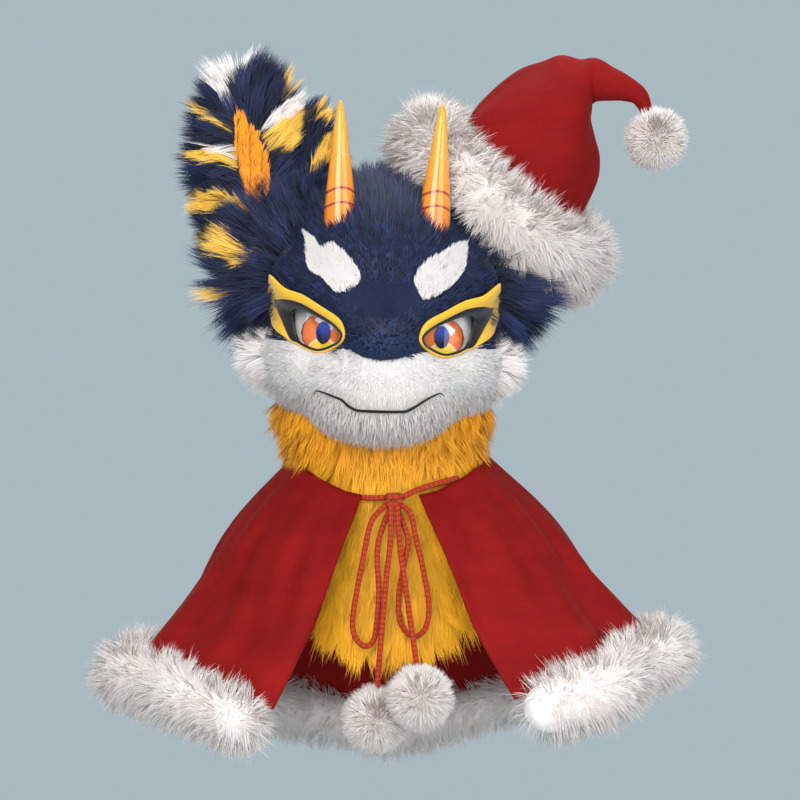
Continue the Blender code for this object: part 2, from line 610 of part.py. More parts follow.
def pompom(name, middle, radius=POMPOM_RADIUS, seed=1):
    """A ball of fur locks."""
    height = np.radians(np.linspace(-66, 66, 7))
    table = [(*middle[:2], middle[2] + radius * math.sin(h), radius * math.cos(h), radius * math.cos(h))
             for h in height]
    return shaggy_tube(name, table, 12, 0.006, "white_fur", ends=(0.3, 0.3), seed=seed)


def socket(piece, start, end, radius):
    """Cuts a round hole between two points, for what is set into the piece."""
    table = [(*start, radius, radius), (*(np.array(start) * 0.5 + np.array(end) * 0.5), radius, radius),
             (*end, radius, radius)]
    cutter = shaggy_tube(f"{piece.name}_socket", table, 12, 0.0, up=(0.2, -1, 0), ends=(0, 0))
    return boolean(piece, "DIFFERENCE", cutter)


def build_hat(blocks):
    """The bent velvet cone, its fur band and its pompom. Gives back the block of the band."""
    side_way, axis = np.array(HAT_SIDE), unit(np.array(HAT_AXIS))
    front_way = np.cross(side_way, axis)
    turn = 2 * np.pi * np.arange(BAND_RINGS)[:, None] / BAND_RINGS
    out = np.cos(turn) * side_way * BAND_REACH[0] + np.sin(turn) * front_way * BAND_REACH[1]
    table = np.hstack([HAT_RING + out, np.broadcast_to(BAND_SIZE, (BAND_RINGS, 2))])
    sizes = dict(table=table, sides=9, lock=0.009, up=axis, looped=True, outside=out,
                 lean=0.4, seed=31)
    band, band_block = build_pair("hat_band", "white_fur", **sizes)
    hat = shaggy_tube("hat", HAT_PATH, 16, 0.0, "red_velvet")
    hollow = np.array(HAT_PATH[:HAT_HOLLOW_ROWS])
    hollow[0, :3] += (hollow[0, :3] - hollow[1, :3]) * 0.5
    boolean(hat, "DIFFERENCE", shaggy_tube("hat_hollow", hollow, 16, 0.0, grow=-CLOTH))
    cut_all([hat, band], blocks["skin"], blocks["horn"])
    cut_all([band], shaggy_tube("hat_block", HAT_PATH, 16, 0.0, grow=2 * GAP))
    tail = np.array(HAT_PATH[-1][:3])
    toward = unit(np.array(HAT_POMPOM) - tail)
    ball = pompom("hat_pompom", HAT_POMPOM, 0.031, seed=41)
    socket(ball, tail - toward * 0.03, tail + toward * 0.008, 0.0075)
    zone = [(*(np.array(HAT_RING) + axis * along), 0.17, 0.17) for along in (-0.034, 0.06, 0.15)]
    return [band_block, shaggy_tube("hat_zone", zone, 12, 0.0, ends=(0.0, 0.0))]


def cape_point(azimuth, share):
    """Points of the cape's outside, from the azimuth in degrees and the share of the way down."""
    a = np.radians(azimuth)
    turned = np.abs(azimuth)
    middle_x, middle_y, reach_x, reach_y = (n + (h - n) * share for n, h in zip(NECKLINE, HEM))
    bulge = 0.010 * np.sin(np.pi * np.clip(share * 1.6, 0, 1))
    swell = np.clip(share, 0, None) ** 1.3
    fold = FOLD_DEPTH * (0.6 * np.sin(9 * a + 0.8) + 0.4 * np.sin(14 * a + 2.1)) * swell
    x = middle_x + (reach_x + bulge + fold) * np.sin(a)
    y = middle_y - (reach_y + bulge + fold) * np.cos(a)
    top = np.interp(turned, CAPE_AZIMUTHS, NECKLINE_Z)
    bottom = np.interp(turned, CAPE_AZIMUTHS, HEM_Z)
    return np.stack([x, y, top + (bottom - top) * share + HEM_TILT * x * share], axis=-1)


def cape_sheet(name, stuff=None, grow=0.0):
    """The cape as a thin closed wall, open at the front. Grow makes a fatter one to cut with."""
    share = 0.5 + (np.array(CAPE_ROWS)[:, None] - 0.5) * (1 + 12 * grow)
    start = CAPE_OPENING[0] + (CAPE_OPENING[1] - CAPE_OPENING[0]) * share - math.degrees(4 * grow)
    step = np.linspace(0, 1, CAPE_COLUMNS)[None, :]
    azimuth = start + (360 - 2 * start) * step
    azimuth = np.where(azimuth > 180, azimuth - 360, azimuth)
    points = cape_point(azimuth, share + 0 * azimuth)
    normal = unit(np.cross(np.gradient(points, axis=1), np.gradient(points, axis=0)))
    outward = np.sign((normal * points)[..., :2].sum(axis=-1, keepdims=True))
    normal = normal * outward
    cells = grid_cells(len(CAPE_ROWS), CAPE_COLUMNS, False)
    return thick_skin(name, (points + normal * grow).reshape(-1, 3),
                      (points - normal * (CLOTH + grow)).reshape(-1, 3), cells, stuff)


def build_cape():
    """The velvet cape and the fur along its hem."""
    cape_sheet("cape", "red_velvet")
    azimuth = np.linspace(TRIM_START, 360 - TRIM_START, TRIM_RINGS)
    azimuth = np.where(azimuth > 180, azimuth - 360, azimuth)
    hem = cape_point(azimuth, np.ones(TRIM_RINGS))
    out = np.stack([np.sin(np.radians(azimuth)), -np.cos(np.radians(azimuth)), 0 * azimuth], axis=-1)
    middle = hem + out * TRIM_OFFSET[0] + np.array((0, 0, TRIM_OFFSET[1]))
    table = np.hstack([middle, np.broadcast_to(TRIM_SIZE, (TRIM_RINGS, 2))])
    trim = shaggy_tube("cape_trim", table, 8, 0.011, "white_fur", up=(0, 0, 1), ends=(0.7, 0.7),
                       lean=0.4, seed=51)
    cape_block = cape_sheet("cape_block", grow=2 * GAP)
    boolean(trim, "DIFFERENCE", cape_block)
    return cape_block


def build_neck(blocks, cape_block):
    """The neck's fur ring, open above and below, with its bib at the front."""
    rows = np.array(NECK_ROWS)
    azimuth = 360 * np.arange(NECK_COLUMNS) / NECK_COLUMNS
    azimuth = np.where(azimuth > 180, azimuth - 360, azimuth)
    row, column = np.indices((len(rows), NECK_COLUMNS))
    peak = (row + column) % 2 == 0
    random = np.random.default_rng(61).random(peak.shape)
    lock = rows[:, 3:4] * np.where(peak, 0.6 + 0.4 * random, 0.0)
    height = rows[:, :1] - 0.8 * lock
    height = np.where(height < 0, height * (1 - BIB_CURVE * (azimuth / 45) ** 2).clip(0.5), height)
    a = np.radians(azimuth)

    def layer(thickness):
        across = NECK_MIDDLE + (rows[:, 1:2] + thickness) * np.sin(a)
        along = -(rows[:, 2:3] + thickness) * np.cos(a)
        return np.stack([across, along, height], axis=-1).reshape(-1, 3)

    reach = np.maximum(np.abs(azimuth), np.abs(np.roll(azimuth, -1)))[column]
    chosen = (row < NECK_BACK_ROWS) | (reach < BIB_REACH)
    cells = grid_cells(len(rows), NECK_COLUMNS, True, chosen)
    neck = thick_skin("neck_fur", layer(lock), layer(-NECK_WALL), cells, "yellow_fur")
    cut_all([neck], blocks["skin"], cape_block)


def cord_points(route):
    """Points at even steps along a smooth curve through the route."""
    knots = np.array(route, float) / 1000
    padded = np.vstack([2 * knots[0] - knots[1], knots, 2 * knots[-1] - knots[-2]])
    t = np.linspace(0, 1, 24, endpoint=False)[:, None]
    spans = []
    for p0, p1, p2, p3 in zip(padded, padded[1:], padded[2:], padded[3:]):
        spans.append(0.5 * (2 * p1 + (p2 - p0) * t + (2 * p0 - 5 * p1 + 4 * p2 - p3) * t ** 2
                            + (3 * p1 - p0 - 3 * p2 + p3) * t ** 3))
    dense = np.vstack([*spans, knots[-1:]])
    length = np.concatenate([[0], np.linalg.norm(np.diff(dense, axis=0), axis=1).cumsum()])
    places = np.linspace(0, length[-1], max(4, round(length[-1] / CORD_STEP) + 1))
    return np.stack([np.interp(places, length, dense[:, axis]) for axis in range(3)], axis=-1)


def build_cord(name, route):
    """A round cord along its route."""
    curve = bpy.data.curves.new(name, "CURVE")
    curve.dimensions = "3D"
    curve.bevel_depth = CORD_DIAMETER / 2
    curve.bevel_resolution = 2
    curve.use_fill_caps = True
    points = cord_points(route)
    spline = curve.splines.new("POLY")
    spline.points.add(len(points) - 1)
    for spot, point in zip(spline.points, points):
        spot.co = (*point, 1.0)
    curve.materials.append(make_material(name, "red_cord"))
    cord = bpy.data.objects.new(name, curve)
    bpy.context.scene.collection.objects.link(cord)
    return cord


def build_tie():
    """The cord that ties the cape, its bow and its two pompoms."""
    for name, route in CORDS.items():
        build_cord(name, route)
    middle, (reach_x, reach_y, reach_z) = np.array(KNOT[0]) / 1000, np.array(KNOT[1]) / 1000
    table = [(*(middle + (0, 0, reach_z * math.sin(h))), reach_x * math.cos(h), reach_y * math.cos(h))
             for h in np.radians((-62, -30, 0, 30, 62))]
    knot = shaggy_tube("bow_knot", table, 14, 0.0, "red_cord", ends=(0.3, 0.3))
    for route in CORDS.values():
        path = cord_points(route)
        for end, before in ((path[0], path[1]), (path[-1], path[-2])):
            if np.linalg.norm(end - middle) < 0.015:
                socket(knot, before, end + unit(end - before) * GAP, CORD_DIAMETER / 2 + GAP)
    for seed, (name, middle) in enumerate(POMPOMS.items()):
        ball = pompom(name, np.array(middle) / 1000, seed=seed + 71)
        before, end = np.array(CORDS[name.replace("pompom", "tie_end")][-2:]) / 1000
        socket(ball, before, end + unit(end - before) * 0.001, CORD_DIAMETER / 2 + 0.0006)


clear_scene()
head_pose = bpy.data.objects.new("head_pose", None)
bpy.context.scene.collection.objects.link(head_pose)
head_pose.location = (HEAD_SHIFT, 0, 0)
head_pose.rotation_euler = (0, HEAD_ROLL, 0)
GRID, RADII, BLOCKS = build_head(head_pose)
build_face(head_pose, GRID, RADII, BLOCKS)
BLOCKS["horn"] = build_horns(head_pose, BLOCKS)
NEAR_CHEEKS = build_ears(head_pose, BLOCKS)
NEAR_CHEEKS["left"] += build_hat(BLOCKS)
build_cheeks(head_pose, BLOCKS, NEAR_CHEEKS)
build_neck(BLOCKS, build_cape())
build_tie()
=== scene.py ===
# %% [markdown]
# # A horned fur costume head with a Santa hat and a velvet cape
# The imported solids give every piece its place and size. This notebook gives them their looks: deep
# fur grown strand by strand, velvet, glossy resin horns, printed eyes and a braided tie cord.
# Units are metres, +Z is up and the costume faces -Y.

# %% Load the frame
import math

import bpy
import numpy as np
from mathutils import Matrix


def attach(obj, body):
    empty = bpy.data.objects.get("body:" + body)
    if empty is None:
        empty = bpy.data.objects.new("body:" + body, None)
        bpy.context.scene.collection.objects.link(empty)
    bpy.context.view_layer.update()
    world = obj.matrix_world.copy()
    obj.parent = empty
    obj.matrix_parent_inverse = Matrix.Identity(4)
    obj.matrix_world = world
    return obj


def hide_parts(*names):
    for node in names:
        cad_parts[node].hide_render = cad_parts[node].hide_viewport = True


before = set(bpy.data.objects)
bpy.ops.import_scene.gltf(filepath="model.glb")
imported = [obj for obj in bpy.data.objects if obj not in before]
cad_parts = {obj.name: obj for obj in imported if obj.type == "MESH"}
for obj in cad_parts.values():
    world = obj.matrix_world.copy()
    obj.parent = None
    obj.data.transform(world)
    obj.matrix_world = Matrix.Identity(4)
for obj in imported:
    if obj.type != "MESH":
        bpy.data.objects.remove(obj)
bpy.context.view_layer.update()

# %% [markdown]
# ## Camera
# The photograph is taken level and from far away, so the costume shows little perspective. The lens
# follows from the picture's width, which takes in 0.88 m at the costume.

# %% Camera
CAMERA_DISTANCE, PICTURE_WIDTH, SENSOR = 3.2, 0.88, 36
scene = bpy.context.scene
camera = bpy.data.objects.new("camera", bpy.data.cameras.new("camera"))
scene.collection.objects.link(camera)
camera.location = (0.0165, -CAMERA_DISTANCE, 0.099)
camera.rotation_euler = (math.radians(90), 0, 0)
camera.data.sensor_width = SENSOR
camera.data.lens = SENSOR * CAMERA_DISTANCE / PICTURE_WIDTH
scene.camera = camera
print("lens", round(camera.data.lens, 1), "mm")

# %% [markdown]
# ## Shader maths written as sums
# A pattern is a sum of waves, noises and masks. Wrapping a socket in a small class lets us write
# that sum in Python, and each operator adds its Math node.

# %% Sockets that can be added and multiplied
class Wire:
    """A shader output that takes part in sums."""

    def __init__(self, finish, socket):
        self.finish, self.socket = finish, socket

    def maths(self, operation, *terms):
        """A Math node of one or two terms."""
        return self.finish.node("ShaderNodeMath", {"operation": operation}, dict(enumerate(terms)))

    def __add__(self, other):
        return self.maths("ADD", self, other)

    def __sub__(self, other):
        return self.maths("SUBTRACT", self, other)

    def __rsub__(self, other):
        return self.maths("SUBTRACT", other, self)

    def __mul__(self, other):
        return self.maths("MULTIPLY", self, other)

    def __truediv__(self, other):
        return self.maths("DIVIDE", self, other)

    def __pow__(self, other):
        return self.maths("POWER", self, other)

    __radd__, __rmul__ = __add__, __mul__

    def sine(self):
        return self.maths("SINE", self)

    def size(self):
        return self.maths("ABSOLUTE", self)

    def above(self, limit, soft=0.01):
        """1 where the value is above the limit, with a soft step."""
        ramp = {"interpolation_type": "SMOOTHSTEP"}
        return self.finish.node("ShaderNodeMapRange", ramp,
                                {0: self, 1: limit - soft, 2: limit + soft, 3: 0.0, 4: 1.0})


class Finish:
    """A material: fixed values go on its Principled shader, and node() adds any other node. The slot is not
    used."""

    def __init__(self, name, slot=None, **fixed):
        self.slot = slot
        self.material = bpy.data.materials.new(name)
        self.material.use_nodes = True
        self.tree = self.material.node_tree
        self.shader = self.tree.nodes["Principled BSDF"]
        for words, value in fixed.items():
            self.shader.inputs[words.replace("_", " ")].default_value = value

    def node(self, kind, settings=None, values=None, out=0):
        """Any node: its settings, then values or wires for its inputs."""
        made = self.tree.nodes.new(kind)
        for name, value in (settings or {}).items():
            setattr(made, name, value)
        for name, value in (values or {}).items():
            if isinstance(value, Wire):
                self.tree.links.new(value.socket, made.inputs[name])
            else:
                made.inputs[name].default_value = value
        return Wire(self, made.outputs[out])

    def place(self, scale=(1, 1, 1)):
        """Object coordinates, stretched."""
        return self.node("ShaderNodeMapping", {},
                         {"Vector": self.node("ShaderNodeTexCoord", out="Object"), "Scale": scale})

    def noise(self, size, detail=3.0, where=None):
        """Cloudy noise with lumps of this size in metres."""
        where = where or self.node("ShaderNodeTexCoord", out="Object")
        return self.node("ShaderNodeTexNoise", {}, {"Vector": where, "Scale": 1 / size,
                                                    "Detail": detail, "Roughness": 0.55})

    def stored(self, name, out="Fac"):
        """A value stored with the mesh's points."""
        return self.node("ShaderNodeAttribute", {"attribute_name": name}, out=out)

    def mix(self, share, first, second, how="MIX"):
        """Blends two colours."""
        first, second = (c if isinstance(c, Wire) else (*c, 1.0) for c in (first, second))
        return self.node("ShaderNodeMix", {"data_type": "RGBA", "blend_type": how},
                         {0: share, 6: first, 7: second}, out=2)

    def feed(self, name, wire):
        self.tree.links.new(wire.socket, self.shader.inputs[name])

    def bump(self, height, depth):
        """Relief of this depth in metres."""
        self.feed("Normal", self.node("ShaderNodeBump", {}, {"Height": height, "Distance": depth,
                                                             "Strength": 1.0}))

    def cover(self, node):
        """Puts the finish on a CAD node."""
        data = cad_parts[node].data
        data.materials.clear()
        data.materials.append(self.material)


print("shader helpers ready")

# %% [markdown]
# ## Meshes from whole arrays
# Each piece is worked out as numpy arrays and put into a mesh in one go. That is far quicker than
# adding vertices one by one, and it keeps every formula in sight.

# %% Arrays into a mesh
TURN = 2 * math.pi


def unit(vectors):
    return vectors / np.maximum(np.linalg.norm(vectors, axis=-1, keepdims=True), 1e-12)


def build_mesh(name, points, faces, finish, nodes=(), normals=None, values=None, uv=None, ride=True):
    """A smooth mesh object that stands for the CAD nodes. Faces is a list of index arrays, three or
    four wide. Values are point attributes by name, and uv is one place on the map for each point."""
    mesh = bpy.data.meshes.new(name)
    faces = [np.asarray(block) for block in faces if len(block)]
    corners = np.concatenate([block.ravel() for block in faces])
    sizes = np.concatenate([np.full(len(block), block.shape[1]) for block in faces])
    mesh.vertices.add(len(points))
    mesh.vertices.foreach_set("co", np.asarray(points, np.float32).ravel())
    mesh.loops.add(len(corners))
    mesh.loops.foreach_set("vertex_index", corners.astype(np.int32))
    mesh.polygons.add(len(sizes))
    mesh.polygons.foreach_set("loop_start", (np.cumsum(sizes) - sizes).astype(np.int32))
    mesh.polygons.foreach_set("use_smooth", np.ones(len(sizes), bool))
    mesh.update(calc_edges=True)
    for label, value in (values or {}).items():
        wide = np.ndim(value) == 2
        layer = mesh.attributes.new(label, "FLOAT_COLOR" if wide else "FLOAT", "POINT")
        if wide:
            value = np.hstack([value, np.ones((len(value), 1))])
        layer.data.foreach_set("color" if wide else "value", np.asarray(value, np.float32).ravel())
    if uv is not None:
        layer = mesh.uv_layers.new(name="OFBake")
        layer.data.foreach_set("uv", np.asarray(uv, np.float32)[corners].ravel())
    if normals is not None:
        mesh.normals_split_custom_set_from_vertices(np.asarray(normals, float).tolist())
    mesh.materials.append(finish.material)
    piece = bpy.data.objects.new(name, mesh)
    scene.collection.objects.link(piece)
    if ride:
        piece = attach(piece, "root")
    if nodes:
        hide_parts(*nodes)
    return piece


def grid_quads(rows, columns, around=True):
    """Four-cornered faces over a grid of points, row by row, closed around or open."""
    row, column = np.indices((rows - 1, columns if around else columns - 1))
    a, b = row * columns + column, row * columns + (column + 1) % columns
    return np.stack([a, b, b + columns, a + columns], axis=-1).reshape(-1, 4)


def fan(centre, ring, flip=False):
    """Triangles from a pole to the ring of points around it."""
    pair = (np.roll(ring, -1), ring) if flip else (ring, np.roll(ring, -1))
    return np.stack((np.full(len(ring), centre), *pair), axis=-1)


def capped(rows, columns):
    """Faces of a tube of rows, closed by two poles that come after the last row."""
    count = rows * columns
    return [grid_quads(rows, columns)[:, ::-1], fan(count, np.arange(columns)),
            fan(count + 1, np.arange(count - columns, count), True)]


def round_path(path, side, lift, size, sides):
    """Tube points: path + size * (cos(turn) side + sin(turn) lift), then its two poles."""
    turn = (TURN * np.arange(sides) / sides)[:, None]
    points = path[:, None] + size * (np.cos(turn) * side[:, None] + np.sin(turn) * lift[:, None])
    return np.vstack([points.reshape(-1, 3), path[:1], path[-1:]])


def read_rows(table, share):
    """Rows of a table at shares from 0 to 1, on the Catmull-Rom curve through them."""
    rows = np.array(table, float)
    padded = np.vstack([2 * rows[0] - rows[1], rows, 2 * rows[-1] - rows[-2]])
    place = np.clip(share, 0, 1) * (len(rows) - 1)
    k = np.minimum(place.astype(int), len(rows) - 2)
    t = (place - k)[..., None]
    p0, p1, p2, p3 = (padded[k + n] for n in range(4))
    return 0.5 * (2 * p1 + (p2 - p0) * t + (2 * p0 - 5 * p1 + 4 * p2 - p3) * t ** 2
                  + (3 * p1 - p0 - 3 * p2 + p3) * t ** 3)


# The head is rolled a little to one side: its own left-right, front-back and height become world places
ROLL, SHIFT = math.radians(2.2), -0.0085


def posed(vectors, place=True):
    """Turns head places, or only head directions, into the world's."""
    x, y, z = np.moveaxis(vectors, -1, 0)
    return np.stack([x * math.cos(ROLL) + z * math.sin(ROLL) + SHIFT * place, y,
                     z * math.cos(ROLL) - x * math.sin(ROLL)], axis=-1)


def unposed(points):
    """The head's own places of world points."""
    x, y, z = np.moveaxis(points - np.array((SHIFT, 0, 0)), -1, 0)
    return np.stack([x * math.cos(ROLL) - z * math.sin(ROLL), y,
                     x * math.sin(ROLL) + z * math.cos(ROLL)], axis=-1)


print("mesh helpers ready")

# %% [markdown]
# ## The tie cord
# A braided cord runs round the neck, ends in a bow and hangs down to two pompoms. Its centreline is
# one smooth curve, and the braid is three strands that wind around it, cut into the tube's surface as
# a wave. That keeps the silhouette of a real braid, which a plain tube lacks.

# %% Cord routes in millimetres
CORD_THICK, BRAID_PITCH = 0.006, 0.011
CORDS = {
    "neck_tie_right": ((-66, -71, 6), (-46, -86.5, 0), (-24, -95.5, -5), (0.6, -108, -5.0)),
    "neck_tie_left": ((78, -71, 15), (58, -86.5, 10), (37, -95.5, 4), (19.4, -108, -4)),
    "bow_loop_right": ((1.5, -110.5, -12.5), (-14, -116, -31), (-23.5, -124, -74), (-33, -135, -128),
                       (-31, -137, -150), (-20, -138, -160), (-10, -136, -150), (-6, -132, -105),
                       (-7.5, -122, -60), (-0.5, -114, -32), (6, -106.5, -17)),
    "bow_loop_left": ((18.5, -110.5, -12.5), (28, -115, -22), (33, -118, -46), (41, -125, -80),
                      (47, -132, -118), (43, -135, -142), (31, -136, -150), (18, -134, -138),
                      (15, -130, -112), (19, -125, -84), (25, -119, -52), (20, -113, -32),
                      (14, -106.5, -17)),
    "tie_end_right": ((6.8, -117, -13), (6.5, -125, -48), (2, -133, -90), (-2.5, -143, -140),
                      (-6, -147, -185), (-7.5, -148, -212)),
    "tie_end_left": ((13.4, -117, -13), (16.5, -127, -56), (22, -137, -95), (28, -150, -138),
                     (33, -166, -170), (35.2, -174, -187.5)),
}


def run_of(path):
    """Distance run along a path at each of its points."""
    return np.concatenate([[0], np.linalg.norm(np.diff(path, axis=0), axis=1).cumsum()])


def even_curve(route, step):
    """Points at even steps along the Catmull-Rom curve through a route in millimetres."""
    knots = np.array(route, float) / 1000
    dense = read_rows(knots, np.linspace(0, 1, 24 * (len(knots) - 1) + 1))
    length = run_of(dense)
    places = np.linspace(0, length[-1], max(4, round(length[-1] / step) + 1))
    return np.stack([np.interp(places, length, dense[:, axis]) for axis in range(3)], axis=-1)


def across_path(path):
    """Two unit vectors at right angles to a path: side = tangent x one fixed way, lift = side x tangent."""
    tangent = unit(np.gradient(path, axis=0))
    side = unit(np.cross(tangent, (0.2, -1.0, 0.1)))
    return side, np.cross(side, tangent)


def braided_tube(path, radius=CORD_THICK / 2, sides=14, pitch=BRAID_PITCH, depth=0.10):
    """A tube round a path whose radius is r * (1 - d + d * |sin|) of two families of strands that
    wind left and right, with its two ends closed."""
    side, lift = across_path(path)
    length, around = run_of(path), np.arange(sides) / sides
    wind = np.pi * length[:, None] / pitch
    wave = np.maximum(np.abs(np.sin(1.5 * TURN * around + wind)), np.abs(np.cos(1.5 * TURN * around - wind)))
    size = radius * (1 - depth + depth * 1.2 * wave)[..., None]
    values = {"run": np.append(np.repeat(length, sides), (0, length[-1])),
              "round": np.append(np.tile(around, len(path)), (0, 0))}
    return round_path(path, side, lift, size, sides), capped(len(path), sides), values


# %% [markdown]
# Braid is yarn: matt and slightly fuzzy, and the grooves where its strands meet are painted darker, as
# painted shade.
# The pattern follows the cord through two stored values, the run along it and the turn around it.

# %% Braid finish and the cords
braid = Finish("braided_red_cord", "red_cord", Roughness=0.8, Sheen_Weight=0.1, Sheen_Roughness=0.4,
               Specular_IOR_Level=0.2)
run, turned = braid.stored("run") / BRAID_PITCH, braid.stored("round") * 3.0
weave = ((run + turned) * TURN).sine() * ((run - turned) * TURN).sine()
yarn = braid.noise(0.0016, 4.0)
# The yarn's own flecks, plus painted shade: the colour darkens where the weave is low, in the grooves
# between strands.
braid.feed("Base Color", braid.mix((weave * 0.3 + yarn * 0.9).above(0.42, 0.35), (0.22, 0.016, 0.006),
                                   (0.52, 0.050, 0.014)))
braid.bump(weave * 0.6 + yarn * 0.5, 0.0006)

cord_pieces = {}
for name, route in CORDS.items():
    path = even_curve(route, 0.0022)
    points, faces, values = braided_tube(path)
    cord = build_mesh(f"{name}_braid", points, faces, braid, [name], values=values)
    cord_pieces[name] = (cord, path, float(run_of(path)[-1]))
    print(name, "length", round(cord_pieces[name][2] * 1000), "mm")

# %% [markdown]
# ## Surfaces that fur grows on
# Every furry part is a function of two numbers from 0 to 1 that gives, for whole arrays at once, the
# points of its skin, the way out of it and the way along it. Ears and tufts are tubes along a curve
# with an elliptic section; the head is a blend of eggs, found by halving along rays from its centre.

# %% Tubes, balls and the head
def tube(table, side=1, head=True):
    """A tube along rows of x, y, z and two half sizes: path + cos(t) a across + sin(t) b forwards."""
    rows = np.array(table, float)
    rows[:, 0] *= side

    def surface(u, v):
        row = read_rows(rows, u)
        tangent = unit(read_rows(rows, u + 0.02)[..., :3] - read_rows(rows, u - 0.02)[..., :3])
        across = unit(np.cross(tangent, (0, -1, 0)))
        lift = np.cross(across, tangent)
        turn = TURN * v[..., None]
        wide, high = row[..., 3:4], row[..., 4:5]
        point = row[..., :3] + np.cos(turn) * wide * across + np.sin(turn) * high * lift
        outward = unit(np.cos(turn) * high * across + np.sin(turn) * wide * lift)
        if head:
            point, outward, tangent = posed(point), posed(outward, 0), posed(tangent, 0)
        return point, outward, tangent
    return surface


def ball(middle, radius):
    """A sphere: v turns around its upright axis and u runs from its foot to its top."""
    def surface(u, v):
        height, turn = np.pi * (u - 0.5), TURN * v
        outward = np.stack([np.cos(turn) * np.cos(height), np.sin(turn) * np.cos(height),
                            np.sin(height)], axis=-1)
        return np.array(middle) + radius * outward, outward, outward
    return surface


HEAD_CENTRE = np.array((0.0, -0.010, 0.190))
# Middle x, y, z and radii of the head's eggs; one with an x is there on both sides
HEAD_EGGS = ((0.000, 0.020, 0.222, 0.136, 0.146, 0.114), (0.000, -0.062, 0.236, 0.098, 0.068, 0.070),
             (0.074, -0.048, 0.140, 0.058, 0.072, 0.052), (0.000, -0.104, 0.116, 0.086, 0.070, 0.046),
             (0.000, -0.150, 0.158, 0.034, 0.030, 0.019), (0.000, -0.088, 0.089, 0.066, 0.074, 0.034),
             (0.000, 0.030, 0.130, 0.100, 0.100, 0.068))
BROW_ROLL = ((0.030, -0.136, 0.182), (0.100, -0.086, 0.228), 0.017)
BLEND = 0.010


def head_field(points):
    """Distance outside the blended head: -b * log(sum of exp(-distance / b)) over its lumps. An egg's
    distance is n * (n - 1) / slope, where n is 1 on the egg, and a brow roll is a rod of fixed radius."""
    total = 0
    for x, y, z, *radii in HEAD_EGGS:
        for side in (1, -1) if x else (1,):
            local = points - np.array((side * x, y, z))
            near = np.linalg.norm(local / radii, axis=-1)
            slope = np.linalg.norm(local / np.array(radii) ** 2, axis=-1)
            total = total + np.exp(-near * (near - 1) / np.maximum(slope, 1e-9) / BLEND)
    for side in (1, -1):
        start, end = (np.array(spot) * (side, 1, 1) for spot in BROW_ROLL[:2])
        reach = end - start
        share = np.clip((points - start) @ reach / (reach @ reach), 0, 1)
        gap = np.linalg.norm(points - start - share[..., None] * reach, axis=-1) - BROW_ROLL[2]
        total = total + np.exp(-gap / BLEND)
    return -BLEND * np.log(total)


def halve(start, way, low, high):
    """Where rays leave the head, by halving the stretch between two distances."""
    low, high = np.full(start.shape[:-1], low), np.full(start.shape[:-1], high)
    for _ in range(18):
        middle = (low + high) / 2
        outside = head_field(start + middle[..., None] * way) > 0
        low, high = np.where(outside, low, middle), np.where(outside, middle, high)
    return start + low[..., None] * way


def outward_of_head(points, step=0.002):
    """The way out of the head: the slope of its field."""
    return unit(np.stack([head_field(points + axis) - head_field(points - axis)
                          for axis in np.eye(3) * step], axis=-1))


NOSE = np.array((0.0, -0.185, 0.160))


def head(u, v):
    """Where the rays from the head's centre, by azimuth (v) and elevation (u), leave the head. The way
    along it runs back from the nose."""
    azimuth, elevation = TURN * (v - 0.5), np.radians(-54 + 143.9 * u)
    way = np.stack([np.sin(azimuth) * np.cos(elevation), -np.cos(azimuth) * np.cos(elevation),
                    np.sin(elevation)], axis=-1)
    point = halve(np.broadcast_to(HEAD_CENTRE, way.shape), way, 0.03, 0.32)
    outward = outward_of_head(point)
    back = unit(point - NOSE)
    back = unit(back - outward * (back * outward).sum(axis=-1, keepdims=True))
    return posed(point), posed(outward, 0), posed(back, 0)


def on_face(spots):
    """Points of the head's front, in its own frame, at (sideways, height) in millimetres."""
    spots = np.array(spots, float) / 1000
    start = np.stack([spots[..., 0], np.full(spots.shape[:-1], -0.02), spots[..., 1]], axis=-1)
    return halve(start, np.array((0.0, -1.0, 0.0)), 0.0, 0.22)


print("head nose at", np.round(on_face([(0, 158)]) * 1000)[0])

# %% [markdown]
# ## Growing the pile
# Faux fur is a pile of fine, tapered fibres that stand up from a backing, lie over in the direction
# they were combed, and gather into pointed locks. We do the same: scatter roots evenly by area, sort
# them into cells of a wobbly grid so that each cell is a lock, bend each strand along a quadratic
# curve, and pull its tip towards its lock's middle. A strand is a ribbon of one quad and a point, and
# it takes its shading mostly from the skin below, which keeps deep pile soft.

# %% Scatter roots and grow strands
def scatter(surface, count, random, spots=72):
    """Places u, v on a surface, evenly by area: cells of a grid are drawn by their size."""
    edge = np.linspace(0, 1, spots + 1)
    u, v = np.meshgrid(edge, edge, indexing="ij")
    point = surface(u, v)[0]
    down, across = point[1:, :-1] - point[:-1, :-1], point[:-1, 1:] - point[:-1, :-1]
    total = np.linalg.norm(np.cross(down, across), axis=-1).ravel().cumsum()
    drawn = np.searchsorted(total / total[-1], (np.arange(count) + random.random(count)) / count)
    row, column = np.divmod(np.minimum(drawn, spots * spots - 1), spots)
    return (row + random.random(count)) / spots, (column + random.random(count)) / spots


